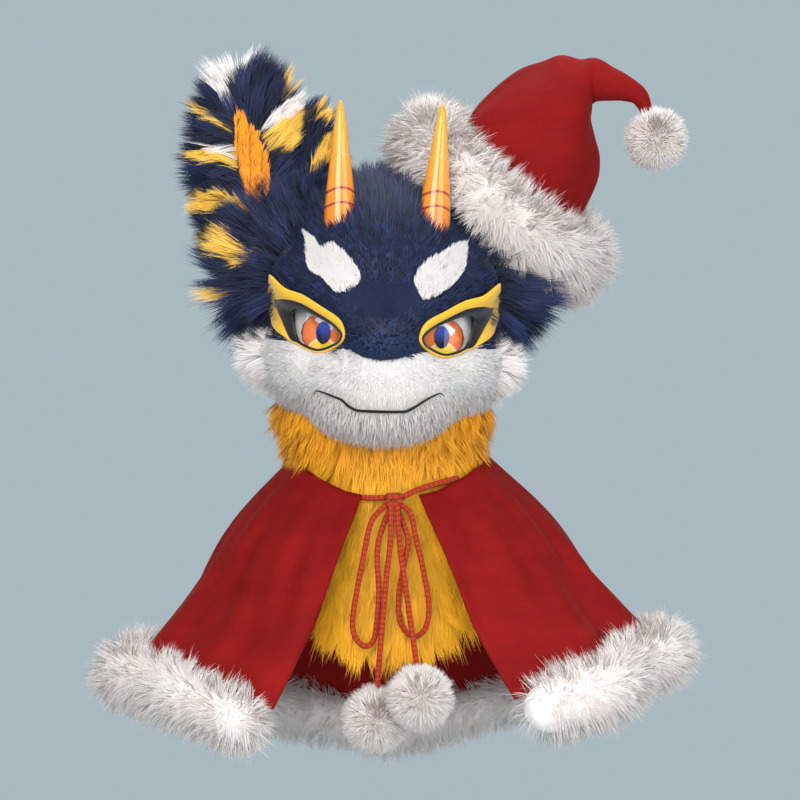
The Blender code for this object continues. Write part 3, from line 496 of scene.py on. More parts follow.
def grow(surface, count, length, colour, comb=None, keep=None, width=0.0012, lift=0.5, gather=0.5,
         lock=0.011, wild=0.18, stray=0.06, sag=0.0, crisp=0.6, guard=0.0, seed=1):
    """Strands (1 - s)^2 p0 + 2 s (1 - s) p1 + s^2 p2 on a surface. Length, colour, comb and keep are
    functions of the root's place, its outward way and its way along. A share of the strands, guard,
    is longer. Gives arrays for one mesh."""
    random = np.random.default_rng(seed)
    root, outward, run = surface(*scatter(surface, count, random))
    if keep is not None:
        kept = keep(root, outward)
        root, outward, run = root[kept], outward[kept], run[kept]
    # Locks: cells of a wobbly grid
    wobble = 0.4 * lock * np.sin(root[:, (1, 2, 0)] * 1.9 / lock + seed)
    lock_of = np.unique(np.floor((root + wobble) / lock).astype(int), axis=0, return_inverse=True)[1].ravel()
    members = np.bincount(lock_of)
    middle = np.stack([np.bincount(lock_of, root[:, k]) / members for k in range(3)], axis=-1)[lock_of]
    of_lock = random.random(len(members))[lock_of]
    # The curve of each strand
    way = comb(root, outward, run) if comb is not None else run
    way = unit(way + wild * random.normal(size=(len(members), 3))[lock_of])
    reach = length(root, outward) if callable(length) else np.full(len(root), length)
    reach = (reach * (0.72 + 0.28 * of_lock) * (0.82 + 0.18 * random.random(len(root))))[:, None]
    reach = reach * np.where(random.random((len(root), 1)) < guard, 1.4, 1.0)
    p0 = root - 0.0015 * outward
    p1 = root + 0.5 * reach * unit(way + lift * outward)
    p2 = p1 + 0.5 * reach * unit(way + 0.35 * lift * outward - np.array((0, 0, sag))) \
        + gather * (middle - root) + stray * reach * random.normal(size=root.shape)
    # A ribbon that faces out and up, of two points at the root, two half way and one at the tip
    side = unit(np.cross(p2 - p0, outward + 0.5 * random.normal(size=root.shape)))
    flat = unit(np.cross(side, p2 - p0))
    away = (flat * (outward + np.array((0, -0.5, 0.6)))).sum(axis=-1, keepdims=True) < 0
    side, flat = np.where(away, -side, side), np.where(away, -flat, flat)
    s = np.array((0.0, 0.5, 1.0))[:, None, None]
    line = (1 - s) ** 2 * p0 + 2 * s * (1 - s) * p1 + s ** 2 * p2
    half = 0.5 * width * (1 - s[:2] ** 1.4) * (0.8 + 0.4 * random.random((len(root), 1)))
    edges = np.stack([line[:2] - side * half, line[:2] + side * half], axis=1)
    points = np.concatenate([edges.reshape(4, -1, 3), line[2:]])
    first = 5 * np.arange(len(root))[:, None]
    # Each strand has its own cell of the map
    tall, across = np.array((0, 0, 0.5, 0.5, 1)), np.array((0.1, 0.9, 0.1, 0.9, 0.5))
    squares = math.ceil(math.sqrt(len(root)))
    row, column = np.divmod(np.arange(len(root))[:, None], squares)
    uv = np.stack([0.76 * (column + across) / squares, (row + 0.05 + 0.9 * tall) / squares], axis=-1)
    tint = colour(root + 0.45 * reach * way, root, outward, of_lock)
    normal = unit(outward + crisp * flat + 0.25 * unit(p2 - p0))
    chance = 0.5 * of_lock + 0.5 * random.random(len(root))
    return {"points": points.transpose(1, 0, 2).reshape(-1, 3), "uv": uv.reshape(-1, 2),
            "faces": [first + (0, 1, 3, 2), first + (2, 3, 4)], "normals": np.repeat(normal, 5, axis=0),
            "tint": np.repeat(tint, 5, axis=0), "tall": np.tile(tall, len(root)),
            "chance": np.repeat(chance, 5)}


print("a strand has 5 points and 3 triangles")

# %% [markdown]
# Under the pile lies a skin, so that nothing shows through between the strands. A piece of fur is a few
# such coats in one mesh, and the map keeps their cells apart.

# %% Skins and pieces of fur
def skin_arrays(points, faces, normals, uv, colour, tall):
    """A skin's arrays; it takes the colour of a lock of middling tone."""
    tint = colour(points, points, normals, np.full(len(points), 0.5))
    return {"points": points, "faces": faces, "normals": normals, "uv": uv, "tint": tint,
            "tall": np.full(len(points), tall), "chance": np.full(len(points), 0.4)}


def facing(faces, point, outward):
    """The faces, turned over where the middle of the grid would otherwise face inwards."""
    m = len(point) // 2
    inwards = np.dot(np.cross(point[m, 1] - point[m, 0], point[m + 1, 0] - point[m, 0]), outward[m, 0]) < 0
    return [block[:, ::-1] for block in faces] if inwards else faces


def backing(surface, rows, columns, colour, inset=0.0015):
    """The skin under the pile: the surface on a grid, with its two ends closed."""
    u, v = np.meshgrid(np.linspace(0, 1, rows), np.arange(columns) / columns, indexing="ij")
    point, outward, run = surface(u, v)
    point = point - inset * outward
    points = np.vstack([point.reshape(-1, 3), point[0].mean(axis=0), point[-1].mean(axis=0)])
    normals = np.vstack([outward.reshape(-1, 3), -run[0].mean(axis=0), run[-1].mean(axis=0)])
    uv = np.vstack([np.stack([0.78 + 0.21 * v, 0.01 + 0.98 * u], axis=-1).reshape(-1, 2),
                    [[0.88, 0.005], [0.88, 0.995]]])
    faces = facing([block[:, ::-1] for block in capped(rows, columns)], point, outward)
    return skin_arrays(points, faces, unit(normals), uv, colour, 0.12)


def fur_piece(name, coats, finish, *nodes):
    """One object of several coats of strands and skins, which stands for the CAD nodes."""
    start = np.cumsum([0] + [len(coat["points"]) for coat in coats])
    whole = {key: np.concatenate([coat[key] for coat in coats])
             for key in ("points", "normals", "uv", "tint", "tall", "chance")}
    faces = [block + first for coat, first in zip(coats, start) for block in coat["faces"]]
    piece = build_mesh(name, whole["points"], faces, finish, nodes, normals=whole["normals"],
                       values={key: whole[key] for key in ("tint", "tall", "chance")}, uv=whole["uv"])
    print(f"{name}: {sum(len(block) * (block.shape[1] - 2) for block in faces)} triangles")
    return piece


def pelt(name, nodes, finish, surface, grid, strands, length, colour, skin=None, **pile):
    """A skin of so many rows and columns with one coat of strands."""
    return fur_piece(name, [backing(surface, *grid, skin or colour),
                            grow(surface, strands, length, colour, **pile)], finish, *nodes)


print("fur helpers ready")

# %% [markdown]
# Fur isn't one colour: roots are in shade, tips catch the light, and each lock has its own tone. The
# colour of each strand comes from where it grows, and the nodes below add the rest.

# %% Fur finish
def fur_finish(name, slot, root_shade, tip_light, vary=0.35, rough=0.58, sheen=0.35, sheen_colour=(1, 1, 1)):
    """Colour = tint * (1 - root shade + rise towards the tip) * the lock's own tone."""
    fur = Finish(name, slot, Roughness=rough, Sheen_Weight=sheen, Sheen_Roughness=0.35,
                 Sheen_Tint=(*sheen_colour, 1.0), Specular_IOR_Level=0.28)
    tall, chance = fur.stored("tall"), fur.stored("chance")
    patch = fur.noise(0.03, 3.0)
    light = tall * (root_shade + tip_light) + (1 - root_shade)
    tone = light * (chance * vary + 1 - vary / 2) * (patch * vary + 1 - vary / 2)
    bright = fur.node("ShaderNodeCombineColor", {}, {0: tone, 1: tone, 2: tone})
    fur.feed("Base Color", fur.mix(1.0, fur.stored("tint", "Color"), bright, "MULTIPLY"))
    return fur


NAVY, WHITE = np.array((0.0075, 0.0135, 0.048)), np.array((0.86, 0.80, 0.775))
# The nose's pile is painted a lighter navy than the rest of the face: painted sheen.
PLUSH_WHITE, NOSE_SHEEN_NAVY = np.array((0.74, 0.695, 0.672)), np.array((0.018, 0.031, 0.095))
YELLOW, ORANGE = np.array((0.93, 0.56, 0.085)), np.array((0.98, 0.33, 0.008))
GOLD = np.array((0.98, 0.50, 0.022))


def plain(colour):
    """The same colour everywhere."""
    return lambda spot, root, outward, chance: np.broadcast_to(colour, root.shape)


def night(chance):
    """Navy whose locks differ: most are nearly black, a few catch the light."""
    return NAVY * (0.55 + 1.5 * chance[:, None] ** 2)


def inside(outline, x, z):
    """Whether (x, z) in millimetres lies inside an outline: an odd number of edges to its right."""
    x0, z0 = np.array(outline, float).T
    x1, z1 = np.roll(x0, -1), np.roll(z0, -1)
    x, z = x[..., None], z[..., None]
    cross = x0 + (z - z0) / np.where(z1 == z0, 1e-9, z1 - z0) * (x1 - x0)
    return (((z0 > z) != (z1 > z)) & (x < cross)).sum(axis=-1) % 2 == 1


def front_view(points):
    """Sideways place and height in millimetres."""
    return points[:, 0] * 1000, points[:, 2] * 1000


head_fur = fur_finish("head_fur", "navy_fur", 0.16, 0.14, vary=0.16, sheen=0.15, sheen_colour=(0.7, 0.78, 1))
deep_fur = fur_finish("deep_fur", "navy_fur", 0.45, 0.35)
gold_fur = fur_finish("gold_fur", "yellow_fur", 0.22, 0.15, vary=0.22, sheen_colour=(1.0, 0.8, 0.4))
white_fur = fur_finish("white_deep_fur", "white_fur", 0.02, 0.05, vary=0.04, rough=0.85, sheen=0.45,
                       sheen_colour=(1.0, 0.95, 0.93))
print("fur finishes ready")

# %% [markdown]
# ## The ear
# The tall ear is a flat tube of long pile. Its colours are sewn patches, so whole locks change
# colour together. Each patch is an outline seen from the front, in millimetres, and a lock takes the
# colour of the patch that its middle falls in.

# %% Ear tables
EAR = ((-0.112, 0.004, 0.215, 0.036, 0.026), (-0.120, 0.004, 0.246, 0.044, 0.030),
       (-0.128, 0.003, 0.277, 0.050, 0.030), (-0.136, 0.002, 0.306, 0.052, 0.029),
       (-0.142, 0.001, 0.334, 0.051, 0.027), (-0.147, 0.000, 0.361, 0.049, 0.024),
       (-0.150, -0.001, 0.388, 0.046, 0.022), (-0.152, -0.002, 0.414, 0.041, 0.020),
       (-0.155, -0.003, 0.436, 0.032, 0.016), (-0.160, -0.004, 0.454, 0.015, 0.010))
EAR_LOBE = ((-0.080, 0.010, 0.290, 0.024, 0.024), (-0.081, 0.008, 0.318, 0.025, 0.023),
            (-0.081, 0.006, 0.346, 0.024, 0.020), (-0.083, 0.004, 0.373, 0.022, 0.017),
            (-0.087, 0.002, 0.398, 0.018, 0.013), (-0.091, 0.001, 0.418, 0.008, 0.007))
HIDDEN_EAR = ((0.0900, 0.0390, 0.2750, 0.042, 0.036), (0.1080, 0.0330, 0.3000, 0.042, 0.036),
              (0.1260, 0.0270, 0.3220, 0.038, 0.032), (0.1430, 0.0220, 0.3430, 0.031, 0.027),
              (0.1590, 0.0170, 0.3620, 0.023, 0.020), (0.1700, 0.0140, 0.3750, 0.012, 0.012))
WHITE_PATCHES = (((-205, 458), (-196, 478), (-172, 520), (-140, 520), (-138, 482), (-149, 468), (-162, 455),
                  (-171, 443), (-166, 428), (-178, 426), (-188, 445)),
                 ((-136, 397), (-122, 413), (-105, 429), (-94, 448), (-88, 446), (-90, 426), (-105, 407),
                  (-122, 397)),
                 ((-203, 379), (-184, 378), (-167, 372), (-162, 360), (-180, 368)))
YELLOW_PATCHES = (((-120, 470), (-110, 470), (-104, 448), (-103, 435), (-112, 440)),
                  ((-212, 317), (-199, 326), (-180, 327), (-166, 322), (-156, 318), (-149, 304), (-161, 311),
                   (-173, 312), (-183, 304), (-204, 306)),
                  ((-212, 369), (-197, 376), (-180, 368), (-162, 359), (-161, 351), (-175, 354), (-192, 360),
                   (-208, 363)),
                  ((-210, 431), (-192, 413), (-174, 398), (-175, 394), (-189, 405), (-204, 416)),
                  ((-140, 391), (-122, 396), (-103, 412), (-90, 428), (-91, 402), (-98, 383), (-103, 368),
                   (-116, 378), (-129, 385)),
                  ((-76, 430), (-60, 404), (-65, 399), (-75, 414)),
                  ((-54, 397), (-71, 381), (-80, 360), (-85, 345), (-70, 355), (-52, 369)))
STRIPE = ((-162, 416), (-153, 411), (-147, 399), (-140, 392), (-131, 374), (-126, 355), (-125, 339),
          (-128, 325), (-133, 313), (-140, 297), (-146, 301), (-153, 309), (-152, 321), (-154, 332),
          (-159, 346), (-163, 369), (-164, 392))
print("ear patches", len(WHITE_PATCHES) + len(YELLOW_PATCHES) + 1)

# %% [markdown]
# The pile turns away from the orange stripe on both sides, and it is shortest on the stripe.

# %% Ear colours, comb and length
STRIPE_X, EAR_TOP = -0.150, 0.385


def patched(*patches):
    """Navy with sewn patches: each is some outlines, their colour and how far back they reach."""
    def colour(spot, root, outward, chance):
        tint = night(chance)
        for outlines, shade, depth in patches:
            for outline in outlines:
                tint[inside(outline, *front_view(spot)) & (spot[:, 1] < depth)] = shade
        return tint
    return colour


def ear_comb(root, outward, run):
    """Sideways away from the stripe, upwards on the inner side and at the top."""
    aside = np.clip((root[:, 0] - STRIPE_X) / 0.035, -1, 1)
    top = np.clip((root[:, 2] - EAR_TOP) / 0.06, 0, 1)
    up = 0.15 + 0.75 * np.clip(aside, 0, 1) + 1.1 * top
    stripe = inside(STRIPE, *front_view(root))
    aside, up = np.where(stripe, 0.2, aside * (1 - 0.5 * top)), np.where(stripe, 1.2, up)
    return np.stack([aside, 0 * aside, up], axis=-1) + (0.45 - 0.25 * stripe)[:, None] * outward


def ear_length(root, outward):
    """Short on the stripe, long at the edges and longest at the top."""
    stripe = inside(STRIPE, *front_view(root)) & (outward[:, 1] < -0.3)
    edge, top = np.abs(outward[:, 0]), np.clip(root[:, 2] - 0.40, 0, 0.1)
    return np.where(stripe, 0.013, 0.034 + 0.008 * edge + 0.10 * top)


# %% Grow the ear
ear_colour = patched((YELLOW_PATCHES, YELLOW, 0.030), (WHITE_PATCHES, WHITE, 0.030),
                     ([STRIPE], ORANGE, 0.004))
lobe_comb = lambda root, outward, run: 0.7 * run + 0.6 * outward + np.array((0.25, 0, 0.3))
ear_nodes = ["ear_right", "ear_tip", "ear_stripe", "ear_patch_low", "ear_patch_mid", "ear_patch_high"]
pelt("ear_fur", ear_nodes, deep_fur, tube(EAR, head=False), (40, 40), 28000, ear_length, ear_colour,
     comb=ear_comb, width=0.0011, lift=0.35, gather=0.6, lock=0.013, seed=11)
pelt("ear_lobe_fur", ["ear_lobe"], deep_fur, tube(EAR_LOBE, head=False), (30, 28), 9000, 0.032, ear_colour,
     comb=lobe_comb, width=0.0011, lift=0.3, gather=0.6, lock=0.012, seed=12)
pelt("ear_left_fur", ["ear_left"], deep_fur, tube(HIDDEN_EAR), (24, 24), 3000, 0.022, plain(NAVY), seed=13)

# %% [markdown]
# ## Cheeks
# Long navy pile stands out from both sides of the head, with two yellow patches on the wearer's
# right, and a white tuft shows under it. The pile radiates from the middle of the cheek.

# %% Grow the cheeks
CHEEK_TUFT = ((0.080, 0.000, 0.236, 0.072, 0.044), (0.100, 0.000, 0.236, 0.070, 0.047),
              (0.120, 0.001, 0.234, 0.064, 0.047), (0.136, 0.004, 0.230, 0.052, 0.043),
              (0.150, 0.006, 0.225, 0.034, 0.030), (0.158, 0.008, 0.222, 0.014, 0.014))
CHEEK_FLUFF = ((0.070, -0.040, 0.140, 0.028, 0.042), (0.092, -0.037, 0.141, 0.028, 0.040),
               (0.112, -0.034, 0.142, 0.024, 0.034), (0.130, -0.031, 0.143, 0.016, 0.024),
               (0.142, -0.029, 0.144, 0.006, 0.009))
CHEEK_PATCHES = (((-214, 284), (-184, 284), (-163, 276), (-152, 265), (-148, 253), (-150, 241), (-163, 246),
                  (-176, 253), (-191, 265), (-207, 275)),
                 ((-194, 226), (-183, 223), (-166, 217), (-166, 212), (-181, 214), (-192, 218)))

SIDES = (("right", -1), ("left", 1))
cheek_colour = patched((CHEEK_PATCHES, YELLOW, 0.02))
fluff_comb = lambda root, outward, run: run + 0.5 * outward - np.array((0, 0, 0.25))


def below_hat(root, outward):
    """On the hat's side the cheek has no pile where the hat's band lies on it."""
    return (root[:, 0] < 0) | (root[:, 2] + 0.5 * root[:, 0] < 0.305)


for label, side in SIDES:
    middle = np.array((0.055 * side + SHIFT, 0.0, 0.236))
    radiate = lambda root, outward, run: unit(root - middle) + 0.25 * outward
    pelt(f"cheek_{label}_fur", [f"cheek_tuft_{label}"] + ["cheek_patch"] * (side < 0), deep_fur,
         tube(CHEEK_TUFT, side), (20, 36), 15500, 0.064 - 0.004 * side, cheek_colour,
         comb=radiate, keep=below_hat, lift=0.3, gather=0.6, lock=0.013, seed=20 + side)
    pelt(f"cheek_fluff_{label}_fur", [f"cheek_fluff_{label}"], white_fur, tube(CHEEK_FLUFF, side), (16, 24),
         5500, 0.032, plain(WHITE), comb=fluff_comb, width=0.0010, lift=0.3, gather=0.45, lock=0.013,
         crisp=1.0, seed=24 + side)

# %% [markdown]
# ## The face
# The face is shaved short, so its colours have crisp edges. The outlines of the eyes, brows and nose
# are in the head's own millimetres, and strands are shorter near them. The pile lies back from the
# nose and gets longer towards the crown, the sides and the back.

# %% Face outlines
FELT_EDGE = ((120, 231), (101, 216), (83, 208), (64, 197), (44, 184), (36.5, 168), (40, 156), (52, 148),
             (65.4, 144), (80, 148), (99, 157), (114, 168.5), (119, 185), (123.5, 207))
BROWS = {"right": ((-89, 276), (-74, 265), (-68, 255), (-56, 260), (-43, 251), (-30, 237), (-25, 225),
                   (-29, 211), (-38, 207), (-54, 213), (-67, 226), (-79, 233), (-83, 247), (-84, 261)),
         "left": ((85, 268), (74, 266), (62, 257), (46, 247), (34, 234), (31, 220), (38, 208), (49, 208),
                  (65, 217), (80, 233), (84, 250))}
NOSE_PAD = ((-39, 155), (-28, 162), (-17, 167), (-6, 173), (4, 173), (14, 170), (26, 167), (38, 166),
            (41, 156), (36, 145), (22, 141), (8, 139), (-7, 140), (-23, 148))
WHITE_EDGE_X = (-150, -127, -98, -72, -55, -40, -30, -15, 8, 22, 36, 42, 50, 68, 87, 112, 150)
WHITE_EDGE_Z = (164, 162, 157, 146, 145, 152, 150, 144, 139, 140, 145, 152, 150, 150, 157, 158, 160)
HAT_RING = np.array((0.1296, 0.0450, 0.3210))
HAT_AXIS = unit(np.array((0.626, -0.208, 0.753)))
HAT_MOUTH, HORN_FOOT = 0.098, 0.017
HORN_FEET = {side: np.array((side * 0.050, -0.086, 0.285)) for side in (-1, 1)}
print("face outlines", len(BROWS) + 3)

# %% [markdown]
# Four functions of the root's place say how the face's pile is: its colour, where it grows, its length
# and the way it is combed.

# %% Face colours, length and comb
def on_nose(x, y, z):
    return inside(NOSE_PAD, x, z) & (y < 0)


def face_colour(spot, root, outward, chance):
    """Navy above the white edge, a nose painted a lighter navy as painted sheen on its short pile, and a
    slightly warmer white under the chin.
    """
    x, y, z = unposed(spot * 0.35 + root * 0.65).T * 1000
    nose = on_nose(x, y, z)
    white = (z < np.interp(x, WHITE_EDGE_X, WHITE_EDGE_Z)) & (y < 35) & ~nose
    tint = night(chance)
    # Painted sheen: the nose's pile is painted a lighter navy.
    tint[nose] = NOSE_SHEEN_NAVY
    tint[white] = PLUSH_WHITE
    tint[white & (z < 112 - 0.0015 * x ** 2)] = PLUSH_WHITE * (1.0, 0.97, 0.94)
    return tint


def bare(root, outward):
    """Where the face has pile: not on the eyes, nor under the hat and the horns."""
    local = unposed(root)
    x, y, z = local.T * 1000
    eye = inside(FELT_EDGE, np.abs(x), z) & (y < -20)
    off = root - HAT_RING
    high = off @ HAT_AXIS
    hat = (high > 0.012) & (np.linalg.norm(off - high[:, None] * HAT_AXIS, axis=-1) < HAT_MOUTH)
    horns = [np.linalg.norm((local - foot)[:, :2], axis=-1) < HORN_FOOT for foot in HORN_FEET.values()]
    return ~eye & ~hat & ~((horns[0] | horns[1]) & (z > 240))


def face_length(root, outward):
    """Longer towards the back, the crown and the chin, and shortest on the nose."""
    x, y, z = unposed(root).T * 1000
    back, behind, crown = (np.clip(share, 0, 1) for share in ((y + 110) / 110, y / 60, (z - 262) / 40))
    chin = np.clip((118 - z) / 30, 0, 1) * np.clip(1 - np.abs(x) / 160, 0, 1)
    long = 0.007 + 0.016 * back + 0.022 * crown + 0.012 * behind + 0.007 * chin
    return np.where(on_nose(x, y, z), 0.0045, long)


def face_comb(root, outward, run):
    """Back from the nose, up on the crown, down behind and where the chin turns under."""
    low, crown, behind = (np.clip(share, 0, 1) for share in (
        (0.125 - root[:, 2:]) / 0.03, (root[:, 2:] - 0.262) / 0.04, root[:, 1:2] / 0.07))
    run = run * (1 - behind) - behind * np.array((0, 0, 1.0))
    return run * (1 - 0.6 * low) + crown * (0.5 * outward + np.array((0, 0, 0.35))) \
        - low * np.array((0, -0.25, 0.9)) + 0.05 * outward


def plush(root, outward):
    """The smooth front of the face, which gets a second, finer and shorter coat. It reaches further back
    on the muzzle than on the brow."""
    return bare(root, outward) & (unposed(root)[:, 1] < np.where(root[:, 2] < 0.165, -0.025, -0.055))


def plush_length(root, outward):
    """Short at the nose and a little longer further back."""
    return 0.0055 + 0.10 * np.clip(unposed(root)[:, 1] + 0.14, 0, 0.1)


def brow_patch(outline):
    """A low cushion on the brow: u runs from its middle to the outline, v around it."""
    edge = np.vstack([outline, outline[:1]])
    middle = np.mean(outline, axis=0)

    def surface(u, v):
        reach = 0.05 + 0.95 * u[..., None]
        point = on_face(middle + reach * (read_rows(edge, v) - middle))
        outward = outward_of_head(point)
        point = point + (0.0005 + 0.0035 * (1 - reach ** 2)) * outward
        aside = (read_rows(edge, v) - middle) @ np.array(((1.0, 0, 0), (0, 0, 1.0)))
        return posed(point), posed(outward, 0), unit(posed(aside, 0))
    return surface


# %% Grow the face
fur_piece("face_pile", [grow(head, 40000, face_length, face_colour, face_comb, bare, width=0.0012,
                             lift=0.22, gather=0.35, lock=0.008, wild=0.10, stray=0.05, seed=31),
                        grow(head, 62000, plush_length, face_colour, face_comb, plush, width=0.0009,
                             lift=0.20, gather=0.12, lock=0.006, wild=0.06, stray=0.05, crisp=0.15,
                             seed=32)], head_fur)
for label, side in SIDES:
    pelt(f"brow_{label}_fur", [f"brow_patch_{label}"], white_fur, brow_patch(BROWS[label]), (14, 48),
         3000, 0.0085, plain(PLUSH_WHITE), width=0.0009, lift=0.35, gather=0.15, lock=0.006, wild=0.10,
         comb=lambda root, outward, run: np.array((0.35 * side, 0.1, 0.9)) + 0.2 * run,
         crisp=0.15, seed=34 + side)
for name, colour in (("face_fur", NAVY), ("muzzle_fur", PLUSH_WHITE), ("jaw_fur", PLUSH_WHITE),
                     ("nose_pad", NAVY)):
    base = Finish(f"{name}_backing", Roughness=0.8, Sheen_Weight=0.3, Sheen_Roughness=0.35,
                  Specular_IOR_Level=0.2)
    base.feed("Base Color", base.mix(base.noise(0.004, 4.0), tuple(colour * 0.65), tuple(colour * 1.05)))
    base.bump(base.noise(0.002, 3.0), 0.0015)
    base.cover(name)

# %% [markdown]
# ## Neck and bib
# Golden pile rings the neck and hangs as a bib into the cape's opening. Its skin is the same function
# of azimuth and height as the solid's: an ellipse whose half sizes follow a short table.

# %% Neck surface and pile
NECK_ROWS = ((0.100, 0.117, 0.102), (0.084, 0.114, 0.100), (0.066, 0.106, 0.094), (0.044, 0.103, 0.085),
             (0.020, 0.101, 0.081), (0.000, 0.087, 0.085), (-0.030, 0.093, 0.093), (-0.065, 0.103, 0.103),
             (-0.102, 0.114, 0.111), (-0.140, 0.122, 0.117), (-0.172, 0.125, 0.119))
NECK_MIDDLE = 0.0065


def neck_at(azimuth, height):
    """Ellipse points: middle + half width * sin, - half depth * cos. The bib ends higher at its sides."""
    highs, *halves = np.array(NECK_ROWS[::-1]).T
    wide, deep = (np.interp(height, highs, half) for half in halves)
    middle = NECK_MIDDLE - 0.12 * np.clip(height, 0, 0.08)
    drop = np.where(height < 0, height * np.clip(1 - 0.22 * (azimuth / 0.785) ** 2, 0.5, 1), height)
    point = np.stack([middle + wide * np.sin(azimuth), -deep * np.cos(azimuth), drop], axis=-1)
    outward = unit(np.stack([np.sin(azimuth) / wide, -np.cos(azimuth) / deep, 0 * drop], axis=-1))
    return point, outward, np.broadcast_to(np.array((0.0, 0.0, -1.0)), point.shape)


collar = lambda u, v: neck_at(TURN * (v - 0.5), 0.098 - 0.094 * u)
bib = lambda u, v: neck_at(np.radians(62) * (2 * v - 1), 0.010 - 0.178 * u)
# Gold with each lock's own tone, and painted shade under the chin: above the neckline it turns darker and
# more orange as it rises, over the first 4 cm.
gold = lambda spot, root, outward, chance: GOLD * (0.88 + 0.12 * chance[:, None]) \
    * (1 - np.clip(spot[:, 2:] * 5, 0, 0.2) * np.array((0.1, 0.8, 1.0)))
collar_comb = lambda root, outward, run: run + 0.28 * outward
bib_comb = lambda root, outward, run: run + 0.10 * outward + root * (0.9, 0, 0)


def sheet_skin(surface, rows, columns, thick, colour):
    """A thin closed wall on an open surface: two layers joined at the rim."""
    u, v = np.meshgrid(np.linspace(0, 1, rows), np.linspace(0, 1, columns), indexing="ij")
    point, outward, run = surface(u, v)
    points = np.vstack([point.reshape(-1, 3), (point - thick * outward).reshape(-1, 3)])
    count = rows * columns
    number = np.arange(count).reshape(rows, columns)
    rim = np.concatenate([number[0], number[1:, -1], number[-1, -2::-1], number[-2:0:-1, 0]])
    after = np.roll(rim, -1)
    wall = np.stack([rim + count, after + count, after, rim], axis=-1)
    grid = grid_quads(rows, columns, False)
    faces = facing([np.concatenate([grid, grid[:, ::-1] + count, wall])], point, outward)
    flat = outward.reshape(-1, 3)
    uv = np.stack([0.78 + 0.21 * v, 0.5 * u], axis=-1).reshape(-1, 2)
    return skin_arrays(points, faces, np.vstack([flat, -flat]), np.vstack([uv, uv + (0, 0.5)]), colour, 0.1)


fur_piece("neck_pile", [sheet_skin(collar, 14, 72, 0.004, gold), sheet_skin(bib, 20, 30, 0.004, gold),
                        grow(collar, 17000, 0.030, gold, collar_comb, lift=0.3, gather=0.35,
                             lock=0.013, wild=0.22, width=0.0010, seed=41),
                        grow(bib, 20000, 0.034, gold, bib_comb, lift=0.3, gather=0.40,
                             lock=0.014, wild=0.18, width=0.0010, guard=0.10, seed=42)],
          gold_fur, "neck_fur")

# %% [markdown]
# ## Cape
# The cape is one sheet of crushed velvet that falls from the neckline to the hem. Its outside is an
# ellipse that widens on the way down, with soft folds as waves of the azimuth that swell towards the
# hem. The formula is the solid's own, on a much finer grid and with smaller folds added.

# %% Cape formula
CAPE_AZIMUTHS = (0, 27, 60, 90, 135, 180)
NECKLINE_Z = (-0.008, 0.002, 0.026, 0.038, 0.043, 0.045)
HEM_Z = (-0.218, -0.216, -0.180, -0.164, -0.213, -0.268)
NECKLINE, HEM = (0.0065, 0.004, 0.107, 0.110), (0.0130, 0.000, 0.274, 0.218)


def cape_point(azimuth, share, ripple=1.0):
    """Ellipse of middle and half sizes between neckline and hem, plus a bulge and folds."""
    a = np.radians(azimuth)
    middle_x, middle_y, reach_x, reach_y = (n + (h - n) * share for n, h in zip(NECKLINE, HEM))
    bulge = 0.010 * np.sin(np.pi * np.clip(share * 1.6, 0, 1))
    fold = 0.013 * (0.6 * np.sin(9 * a + 0.8) + 0.4 * np.sin(14 * a + 2.1)) * np.clip(share, 0, None) ** 1.3
    small = 0.0030 * np.sin(17 * a + 3.5 * share + 1) + 0.0016 * np.sin(31 * a - 4 * share)
    out = bulge + fold + ripple * np.sin(np.pi * np.clip(share, 0, 1)) * small
    x = middle_x + (reach_x + out) * np.sin(a)
    y = middle_y - (reach_y + out) * np.cos(a)
    top, bottom = (np.interp(np.abs(azimuth), CAPE_AZIMUTHS, heights) for heights in (NECKLINE_Z, HEM_Z))
    return np.stack([x, y, top + (bottom - top) * share + 0.04 * x * share], axis=-1)


def round_back(start, share):
    """Azimuth in degrees, from the start on one side of the opening round the back to the other."""
    azimuth = start + (360 - 2 * start) * share
    return np.where(azimuth > 180, azimuth - 360, azimuth)


def cape(u, v):
    """The cape's outside: u runs from the neckline to the hem and v round the back."""
    azimuth = round_back(16.5 + 10.5 * u, v)
    point = cape_point(azimuth, u)
    ahead, aside = cape_point(azimuth, u + 0.01), cape_point(azimuth + 0.5, u)
    normal = unit(np.cross(aside - point, point - ahead))
    return point, normal, unit(ahead - point)


# %% [markdown]
# Velvet is dark where you look straight at its pile and bright where you look along it, so it gets
# sheen. Crushed places lie another way, which a large soft noise turns into lighter and darker areas.

# %% Velvet finish and the cape
velvet = Finish("red_velvet", "red_velvet", Roughness=0.72, Sheen_Weight=0.16, Sheen_Roughness=0.30,
                Sheen_Tint=(1.0, 0.16, 0.10, 1.0), Specular_IOR_Level=0.08)
crushed = velvet.noise(0.07, 4.0, velvet.place((1.0, 1.0, 2.6)))
pile = velvet.noise(0.0009, 2.0)
velvet.feed("Base Color", velvet.mix(crushed * 0.75 + pile * 0.3, (0.110, 0.0022, 0.0026),
                                     (0.30, 0.0080, 0.0075)))
velvet.bump(pile * 0.4 + velvet.noise(0.02, 3.0) * 2.0, 0.0007)


cape_skin = sheet_skin(cape, 46, 210, 0.002, plain(WHITE))
cape_piece = build_mesh("cape_cloth", cape_skin["points"], cape_skin["faces"], velvet, ["cape"])
print("cape of", len(cape_skin["faces"][0]), "quads")

# %% [markdown]
# The trim is a fluffy roll along the hem. It is thinner and thicker in turns, and rounded at its ends.

# %% Fur trim
TRIM_RADIUS, TRIM_OUT, TRIM_DOWN = 0.028, 0.013, 0.018


def trim_path(u):
    """The hem, moved out and down to the middle of the trim, and the way out there."""
    azimuth = round_back(28.0, u)
    a = np.radians(azimuth)
    out = np.stack([np.sin(a), -np.cos(a), 0 * a], axis=-1)
    return cape_point(azimuth, np.ones_like(azimuth), 0.0) + out * TRIM_OUT - (0, 0, TRIM_DOWN), out


